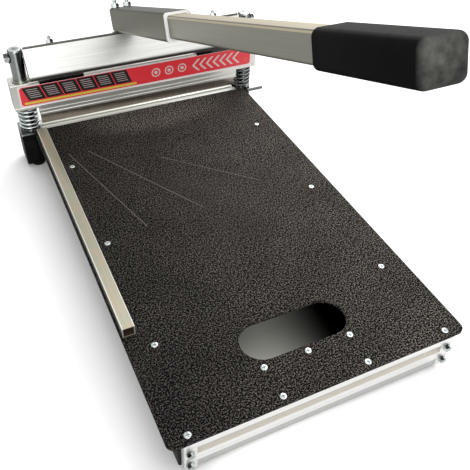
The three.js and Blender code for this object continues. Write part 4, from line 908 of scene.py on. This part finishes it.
class CUTTER_OT_base(bpy.types.Operator):
    """Builds the anvil, the side rails and the fence from brushed extrusions"""

    bl_idname = "cutter.base"
    bl_label = "Anvil, rails and fence"

    def execute(self, context):
        edge = context.scene.cutter_sizes.edge
        extrusion("base_anvil", "x", edge, ends=0.25)
        for side in SIDES:
            extrusion("side_rail_" + side, "y", edge * 0.75)
        fence = softened_copy("fence", fence_metal(context.scene.cutter_colours), edge * 0.75)
        mark_fence(fence, *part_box("fence"))
        return {"FINISHED"}


class CUTTER_OT_legs(bpy.types.Operator):
    """Builds the four legs with softened edges and the rubber feet below them"""

    bl_idname = "cutter.legs"
    bl_label = "Legs and feet"

    def execute(self, context):
        sizes, colours = context.scene.cutter_sizes, context.scene.cutter_colours
        paint = moulded("black_paint", colours.legs, 0.5, grain=500.0, specular=0.08)
        rubber = moulded("foot_rubber", colours.rubber, 0.75, specular=0.15)
        for place in ("rear", "front"):
            for side in SIDES:
                softened_copy(f"{place}_leg_{side}", paint, sizes.edge * 1.5)
                self.foot(f"foot_{place}_{side}", rubber)
        return {"FINISHED"}

    def foot(self, node, rubber, disc=5.7 * MM, pin=3 * MM, rim=0.8 * MM):
        """A turned rubber foot: a wide disc with round rims under a narrow pin."""
        centre, radius, bottom, top = round_box(node)
        profile = [(ON_AXIS, bottom), (radius - rim, bottom), (radius, bottom + 1.4 * MM)]
        profile += [(radius, bottom + disc), (pin, bottom + disc), (pin, top), (ON_AXIS, top)]
        turned_piece(node, rubber, profile, rim, centre)


class CUTTER_OT_posts(bpy.types.Operator):
    """Builds the posts, their seats, the pivot bolts and the side rod in bright plate"""

    bl_idname = "cutter.posts"
    bl_label = "Posts and pivot bolts"

    def execute(self, context):
        for side, outward in SIDES.items():
            bevelled_rod("post_" + side, 2 * MM, 0.5 * MM, top_sheen=0.15)
            fastener("pivot_bolt_" + side, (outward, 0, 0))
            seat = softened_copy("spring_seat_" + side, zinc(), context.scene.cutter_sizes.edge)
            # painted shade on the seat's top and painted reflections on its sides
            mark_facets(seat, top=0.3)
        bevelled_rod("side_rod", 0.8 * MM, 0.3 * MM, top_sheen=0.5, axes=own_axes((1.0, 0, 0)))
        return {"FINISHED"}


class CUTTER_OT_springs(bpy.types.Operator):
    """Winds the two compression springs round the posts, from their seats up to the beam"""

    bl_idname = "cutter.springs"
    bl_label = "Springs"

    closed_pitch = 4 * MM  # of the first and the last turn
    steps_in_turn = 36
    steps_round_wire = 14

    def execute(self, context):
        wire = plated("spring_wire", context.scene.cutter_colours.plating, roughness=0.12)
        for side, hand in SIDES.items():
            self.spring("spring_" + side, hand, wire, context.scene.cutter_sizes)
        return {"FINISHED"}

    def spring(self, node, hand, wire_finish, sizes):
        """A round wire on a helix of radius R and height h(turn), with closed turns at both ends.

        The pitch is one wire thickness and a little in the first and last turn and even between.
        Each ring is a circle about the path, square to its direction.
        """
        (x, y), _, _, _ = round_box(node.replace("spring", "post"))
        _, _, bottom, top = round_box(node)
        low, high = bottom + sizes.wire / 2, top - sizes.wire / 2
        radius = (sizes.coil - sizes.wire) / 2
        closed, open_turns = self.closed_pitch, sizes.turns - 2
        open_pitch = (high - low - 2 * closed) / open_turns
        turn = np.linspace(0, sizes.turns, int(sizes.turns * self.steps_in_turn) + 1)
        height = low + closed * np.minimum(turn, 1) + open_pitch * np.clip(turn - 1, 0, open_turns)
        height += closed * np.clip(turn - 1 - open_turns, 0, 1)
        angle = 2 * np.pi * turn
        outward = np.column_stack([hand * np.cos(angle), np.sin(angle), np.zeros_like(angle)])
        path = outward * radius + np.column_stack([np.zeros_like(turn), np.zeros_like(turn), height])
        ahead = np.gradient(path, axis=0)
        ahead /= np.linalg.norm(ahead, axis=1, keepdims=True)
        outward -= ahead * np.sum(outward * ahead, 1, keepdims=True)
        outward /= np.linalg.norm(outward, axis=1, keepdims=True)
        around = circle(self.steps_round_wire)
        section = outward[:, None] * np.cos(around)[:, None]
        section = section + np.cross(ahead, outward)[:, None] * np.sin(around)[:, None]
        rings = path[:, None] + section * sizes.wire / 2 + np.array([x, y, 0.0])
        piece = surface_piece(node, skin(rings), wire_finish, crease=50.0, ride=False)
        # painted light and shade round the wire: a painted highlight along one side of it and shade along the
        # other
        lit = 0.15 + 0.3 * np.cos(around) + 0.65 * np.sin(around)
        level = np.append(np.tile(lit, len(rings)), [0.5, 0.5])
        keep_values(piece, "sheen", "POINT", np.clip(level, 0.02, 1))
        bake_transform(piece)


class CUTTER_OT_crossbar(bpy.types.Operator):
    """Builds the grooved front crossbar and its hexagon bolts"""

    bl_idname = "cutter.crossbar"
    bl_label = "Front crossbar"

    groove = 5 * MM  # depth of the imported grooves
    lowest = 14.5 * MM  # height of the lowest one
    shallow = 1 * MM  # depth that the lowest one gets

    def execute(self, context):
        bar = extrusion("front_crossbar", "x", context.scene.cutter_sizes.edge, "front")
        self.shallow_groove(bar)
        mark_recess(bar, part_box("front_crossbar")[0].y)
        # painted reflections on the flats of the bolts
        for i in range(1, 5):
            fastener(f"crossbar_bolt_{i}", (0, -1.0, 0), top=0.5, middle=0.3, swing=0.6)
        return {"FINISHED"}

    def shallow_groove(self, bar, slack=0.3 * MM):
        """Brings the floor of the lowest groove forward, so that the groove is a shallow one."""
        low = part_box("front_crossbar")[0]
        points = mesh_rows(bar.data.vertices, "co")
        floor = np.abs(points[:, 1] - low.y - self.groove) < slack
        points[floor & (points[:, 2] < low.z + self.lowest + slack), 1] = low.y + self.shallow
        bar.data.vertices.foreach_set("co", points.astype(np.float32).ravel())
        bar.data.update()


class CUTTER_OT_beam(bpy.types.Operator):
    """Builds the upper beam with the printed decal in its recess"""

    bl_idname = "cutter.beam"
    bl_label = "Upper beam"

    decal_low = (-207.6 * MM, 45.9 * MM)
    decal_high = (208.0 * MM, 83.9 * MM)
    decal_back, decal_front, decal_ease = -4.92 * MM, -5.2 * MM, 0.08 * MM

    def execute(self, context):
        extrusion("upper_beam", "x", context.scene.cutter_sizes.edge * 0.6)
        self.decal(decal_print(context.scene.cutter_colours))
        return {"FINISHED"}

    def decal(self, printed):
        """A thin plate with round corners, its front a little in front of the recess."""
        low, high = np.array(self.decal_low), np.array(self.decal_high)
        width, height = high - low
        ring = rounded_rectangle(width, height, 5 * MM) + (low + high) / 2
        middle = ring.mean(0)
        inset = middle + (ring - middle) * (1 - 2 * self.decal_ease / np.array([width, height]))
        eased_front = self.decal_front + self.decal_ease
        places = ((ring, self.decal_back), (ring, eased_front), (inset, self.decal_front))
        points, faces = skin(np.array([outline_at(outline, y) for outline, y in places]))
        link("beam_decal", new_mesh("beam_decal", points, faces), printed, "beam", [])


class CUTTER_OT_blade(bpy.types.Operator):
    """Builds the blade, its screws, the wear pads and the post bushings"""

    bl_idname = "cutter.blade"
    bl_label = "Blade, pads and bushings"

    def execute(self, context):
        colours = context.scene.cutter_colours
        steel = brushed("blade_steel", colours.blade, (500.0, 900.0, 12.0), roughness=0.35)
        softened_copy("blade", steel, 0.1 * MM)
        for i in range(1, 4):
            fastener(f"blade_screw_{i}", (0, 1.0, 0))
        gloss = moulded("gloss_black", colours.pads, 0.14, relief=0.01)
        bronze = plated("bushing_bronze", colours.bronze, roughness=0.25)
        for side in SIDES:
            softened_copy("wear_pad_" + side, gloss, 0.5 * MM, segments=3, merge=0.25 * MM)
            self.bushing("post_bushing_" + side, bronze)
        return {"FINISHED"}

    def bushing(self, node, bronze, inner=11.3 * MM, outer=12.5 * MM):
        """A turned sleeve with a flange: its profile closes on itself round the bore."""
        centre, flange, bottom, top = round_box(node)
        shoulder = top - 2 * MM
        profile = [(inner, bottom), (outer, bottom), (outer, shoulder), (flange, shoulder)]
        profile += [(flange, top), (inner, top), (inner, bottom + 0.5 * MM)]
        piece = turned_piece(node, bronze, profile, 0.4 * MM, centre, loop=True)
        # painted reflections in bands and a light painted sheen on the top
        mark_bands(piece, None, centre, top=0.8)


class CUTTER_OT_cam(bpy.types.Operator):
    """Builds the cam bar, the dark strip on it, the saddle and the studs of the strip"""

    bl_idname = "cutter.cam"
    bl_label = "Cam bar"

    def execute(self, context):
        sizes, colours = context.scene.cutter_sizes, context.scene.cutter_colours
        dark = brushed("dark_steel", colours.strip, (12.0, 700.0, 700.0), roughness=0.4)
        self.bar("cam_bar", sizes.edge)
        for node in ("cam_strip", "handle_saddle"):
            softened_copy(node, dark, sizes.edge)
        for side in SIDES:
            fastener("strip_bolt_" + side, leaning(CAM_LEAN))
        return {"FINISHED"}

    def bar(self, node, ease):
        """The bar as one outline carried along X: flat sides over a full-round nose, with eased ends."""
        axes, low, high, size, middle = leaning_box(node, CAM_LEAN)
        half, bottom, top = size[1] / 2, low[2], high[2]
        nose = np.linspace(0, -np.pi, 25)
        outline = [(half - ease, top), (half, top - ease)]
        outline += list(zip(half * np.cos(nose), bottom + half + half * np.sin(nose)))
        outline = np.array([*outline, (-half, top - ease), (-half + ease, top)])
        centre = np.array([0.0, middle[2]])
        rings = []
        for x, inset in ((low[0], ease), (low[0] + ease, 0), (high[0] - ease, 0), (high[0], ease)):
            ring = centre + (outline - centre) * (1 - inset / (size[1:] / 2))
            rings.append(np.column_stack([np.full(len(ring), x), ring[:, 0] + middle[1], ring[:, 1]]))
        metal = aluminium("x", "bar", metallic=0.85, ends=0.06)
        piece = surface_piece(node, skin(np.array(rings)), metal, axes)
        # painted shade: the nose darker the more it faces down, and the end faces darkest by the ends factor
        facing = mesh_rows(piece.data.polygons, "normal", axes)
        down = np.clip((-facing[:, 2] - 0.1) / 0.6, 0, 1)
        keep_values(piece, "cut_end", "FACE", np.maximum(down * 0.85, np.abs(facing[:, 0]) > 0.9))


class CUTTER_OT_handle(bpy.types.Operator):
    """Builds the socket, its liner, the inner tube and the studs at the socket's back"""

    bl_idname = "cutter.handle"
    bl_label = "Handle tubes"

    def execute(self, context):
        colours = context.scene.cutter_colours
        white = moulded("white_liner", colours.liner, 0.4, lift=1.05)
        self.tube("handle_socket", handle_steel("socket", 0.25), 4.0, 2.0, chamfer=4.0, dark_top=True)
        softened_copy("socket_liner", white, 0.3 * MM)
        self.tube("inner_tube", handle_steel("handle", 0.85), 3.5, 1.5)
        for side in SIDES:
            fastener("socket_bolt_" + side, leaning(HANDLE_LEAN))
        return {"FINISHED"}

    def tube(self, node, steel, radius, wall, chamfer=0.0, ease=0.3 * MM, dark_top=False):
        """A square tube: the outer and inner outlines carried along its length and joined at both ends.

        Where the back end is chamfered, a point's place along the tube depends on its height. The top takes a
        painted shade, or else a painted light like the upper corners, with a thin line of painted shade between
        them.
        """
        axes, low, high, size, middle = leaning_box(node, HANDLE_LEAN)

        def ring(shape, back, inset):
            """One outline at the tube's back or front end, moved along by the inset."""
            slope = np.clip(chamfer * MM - shape[:, 1] - size[2] / 2, 0, None)
            return outline_at(shape, high[1] - slope - inset if back else low[1] + inset, middle)

        outer, eased_outer = section(size, 0, radius * MM), section(size, ease, radius * MM - ease)
        inner = section(size, wall * MM, max(radius - wall, 0.5) * MM)
        rings = [ring(eased_outer, True, 0), ring(outer, True, ease), ring(outer, False, ease)]
        rings += [ring(eased_outer, False, 0), ring(inner, False, 0), ring(inner, True, 0)]
        piece = surface_piece(node, skin(np.array(rings), loop=True), steel, axes)
        upward = mesh_rows(piece.data.polygons, "normal", axes)[:, 2]
        line, corner = (upward > 0.7) & (upward < 0.97), (upward > 0.1) & (upward < 0.7)
        keep_values(piece, "cut_end", "FACE", upward > 0.5 if dark_top else 0.5 * line)
        if not dark_top:
            keep_values(piece, "ledge", "FACE", 0.4 * (upward > 0.97) + 0.55 * corner)


class CUTTER_OT_grip(bpy.types.Operator):
    """Builds the rubber grip, open towards the tube and rounded at its outer end"""

    bl_idname = "cutter.grip"
    bl_label = "Grip"

    rounding = 7 * MM
    least_corner = 1.5 * MM
    lip = 2.2 * MM
    bore = (28.6 * MM, 28.6 * MM, 3.5 * MM)
    end_wall = 6 * MM

    def execute(self, context):
        colours = context.scene.cutter_colours
        rubber = moulded("grip_rubber", colours.rubber, 0.62, grain=700.0, relief=0.12, specular=0.05)
        self.grip("grip", rubber)
        return {"FINISHED"}

    def grip(self, node, rubber):
        """Rounded rectangles carried along the handle.

        They run out of the bore, over a small lip, along the outside, and draw in over a quarter circle
        at the outer end, where the inset is R (1 - cos a) and the place along is R (1 - sin a).
        """
        axes, low, high, size, middle = leaning_box(node, HANDLE_LEAN)
        bore, end = rounded_rectangle(*self.bore), self.rounding
        rings = [outline_at(bore, low[1] + self.end_wall, middle), outline_at(bore, high[1] - 0.5 * MM, middle)]
        curve = [(self.lip * (1 - np.sin(a)), high[1] - self.lip * (1 - np.cos(a))) for a in quarter_turn(7)]
        curve += [(end * (1 - np.cos(a)), low[1] + end * (1 - np.sin(a))) for a in quarter_turn(13)]
        for inset, along in curve:
            outline = section(size, inset, max(end - inset, self.least_corner))
            rings.append(outline_at(outline, along, middle))
        piece = surface_piece(node, skin(np.array(rings)), rubber, axes, crease=50.0)
        # painted light: the outer end lighter, most towards the upper left, and a faint painted light along the
        # top
        place = (mesh_rows(piece.data.vertices, "co", axes) - middle) / size
        at_end = np.clip(1 - (place[:, 1] + 0.5) * size[1] / end, 0, 1)
        lit_end = at_end * np.clip(0.72 - 0.5 * place[:, 0] + 0.45 * place[:, 2], 0.1, 1)
        keep_values(piece, "painted_light", "POINT", np.maximum(lit_end, 0.1 * (place[:, 2] > 0.45)))


class CUTTER_OT_stage(bpy.types.Operator):
    """Sets the pale floor, the soft lamps, the white surroundings and the camera"""

    bl_idname = "cutter.stage"
    bl_label = "Stage, lights and camera"

    camera_place = (-0.286479, -0.922340, 0.589447)
    camera_right = (0.902028, -0.429654, 0.041746)
    camera_up = (0.266904, 0.631111, 0.728328)
    camera_lens = 47.0114
    floor_half = 30.0
    unseen_light = 0.4  # strength of the white surroundings where they aren't seen
    lamp_aim = Vector((0.0, -0.25, 0.0))
    lamps = (  # name, place, size and power
        ("key_lamp", (0.8, -0.35, 2.4), 2.6, 27.0),
        ("fill_lamp", (-1.0, -2.4, 1.3), 1.8, 27.0),
        ("back_lamp", (1.6, 1.4, 1.8), 1.6, 32.0),
    )

    def execute(self, context):
        self.floor()
        self.world(context.scene)
        for lamp in self.lamps:
            self.lamp(*lamp)
        self.camera(context.scene)
        context.scene.view_settings.view_transform = "Standard"
        return {"FINISHED"}

    def floor(self):
        """A wide pale sheet under the feet, shaded where the cutter covers it and glowing where it is open."""
        finish = Finish("pale_floor")
        x, y, _ = finish.axes()
        occlusion = finish.node("ShaderNodeAmbientOcclusion", {"samples": 8}, {"Distance": 0.3})
        openness = Amount(finish, occlusion.outputs["AO"])
        # painted shadow: more open light is counted on the right, and none under the board
        clear = openness + x.smooth(-0.2, -0.1) * openness.smooth(0.2, 0.5) * 0.4
        clear = clear * (1.0 - x.plateau(-0.17, -0.14, 0.13, 0.17) * y.plateau(-0.61, -0.59, -0.2, -0.1))
        pale = finish.blend(finish.noise(FLOOR_CLOUDS), TINTS["floor"], TINTS["floor cloud"])
        # painted shadow under the board, pale at the left and black towards the right
        shadow = finish.blend(x.smooth(-0.06, 0.085), TINTS["outer shadow"], TINTS["inner shadow"])
        shade = finish.blend(clear.smooth(0.0, 0.42), shadow, pale)
        far = (x * x + (y + 0.25) * (y + 0.25)).smooth(0.2, 1.5)
        strength = clear.smooth(0.3, 0.95) * (0.22 + finish.ray("Camera") * (0.24 + far * 0.4))
        inputs = {"Base Color": shade, "Roughness": 0.9, "Specular IOR Level": 0.0}
        paper = finish.node("ShaderNodeBsdfPrincipled", {}, inputs).outputs[0]
        glow = finish.node("ShaderNodeEmission", {}, {"Color": (1, 1, 1, 1), "Strength": strength}).outputs[0]
        both = finish.node("ShaderNodeAddShader", {}, {0: paper, 1: glow}).outputs[0]
        shader = finish.node("ShaderNodeMixShader", {}, {0: finish.seen(), 1: paper, 2: both}).outputs[0]
        finish.node("ShaderNodeOutputMaterial", {}, {0: shader})
        half, level = self.floor_half, BOX_AT_LOAD[0].z
        corners = np.array([(x * half, y * half, level) for x, y in ((-1, -1), (1, -1), (1, 1), (-1, 1))])
        floor = link("floor", new_mesh("floor", corners, [(0, 1, 2, 3)]), finish.material, None, [])

    def world(self, scene):
        """White where it is seen or mirrored, and a soft even light elsewhere."""
        scene.world = bpy.data.worlds.new("studio")
        studio = Nodes(scene.world)
        strength = self.unseen_light + studio.seen() * (1 - self.unseen_light)
        inputs = {"Color": (1, 1, 1, 1), "Strength": strength}
        background = studio.node("ShaderNodeBackground", {}, inputs)
        studio.node("ShaderNodeOutputWorld", {}, {0: background.outputs[0]})

    def lamp(self, name, place, size, power):
        """A soft square lamp that faces the middle of the board."""
        data = bpy.data.lights.new(name, "AREA")
        data.size = size
        data.energy = power
        lamp = bpy.data.objects.new(name, data)
        lamp.location = place
        aim = self.lamp_aim - Vector(place)
        lamp.rotation_euler = aim.to_track_quat("-Z", "Y").to_euler()
        bpy.context.scene.collection.objects.link(lamp)

    def camera(self, scene):
        """The camera at the photograph's angle, its axes given by their directions."""
        right, up = Vector(self.camera_right), Vector(self.camera_up)
        data = bpy.data.cameras.new("camera")
        data.lens = self.camera_lens
        data.sensor_width = 36.0
        data.clip_start, data.clip_end = 0.01, 50.0
        camera = bpy.data.objects.new("camera", data)
        turn = Matrix((right, up, right.cross(up))).transposed()
        camera.matrix_world = Matrix.Translation(self.camera_place) @ turn.to_4x4()
        scene.collection.objects.link(camera)
        scene.camera = camera


class CUTTER_PT_panel(bpy.types.Panel):
    """Lists the sizes, the colours and the steps in the sidebar"""

    bl_idname = "CUTTER_PT_panel"
    bl_label = "Laminate cutter"
    bl_space_type = "VIEW_3D"
    bl_region_type = "UI"
    bl_category = "Cutter"

    def draw(self, context):
        for group in (context.scene.cutter_sizes, context.scene.cutter_colours):
            box = self.layout.box()
            for name in group.__annotations__:
                box.prop(group, name)
        for operator in OPERATORS:
            self.layout.operator(operator.bl_idname)


OPERATORS = (
    CUTTER_OT_board,
    CUTTER_OT_board_screws,
    CUTTER_OT_base,
    CUTTER_OT_legs,
    CUTTER_OT_posts,
    CUTTER_OT_springs,
    CUTTER_OT_crossbar,
    CUTTER_OT_beam,
    CUTTER_OT_blade,
    CUTTER_OT_cam,
    CUTTER_OT_handle,
    CUTTER_OT_grip,
    CUTTER_OT_stage,
)
CLASSES = (CutterSizes, CutterColours, *OPERATORS, CUTTER_PT_panel)


def register():
    """Registers the classes and gives the scene its settings."""
    for cls in CLASSES:
        bpy.utils.register_class(cls)
    bpy.types.Scene.cutter_sizes = PointerProperty(type=CutterSizes)
    bpy.types.Scene.cutter_colours = PointerProperty(type=CutterColours)


def unregister():
    """Takes the settings and the classes away again."""
    del bpy.types.Scene.cutter_sizes
    del bpy.types.Scene.cutter_colours
    for cls in reversed(CLASSES):
        bpy.utils.unregister_class(cls)


def main():
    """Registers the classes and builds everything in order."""
    register()
    for operator in OPERATORS:
        group, name = operator.bl_idname.split(".")
        getattr(getattr(bpy.ops, group), name)()


if __name__ == "__main__":
    main()
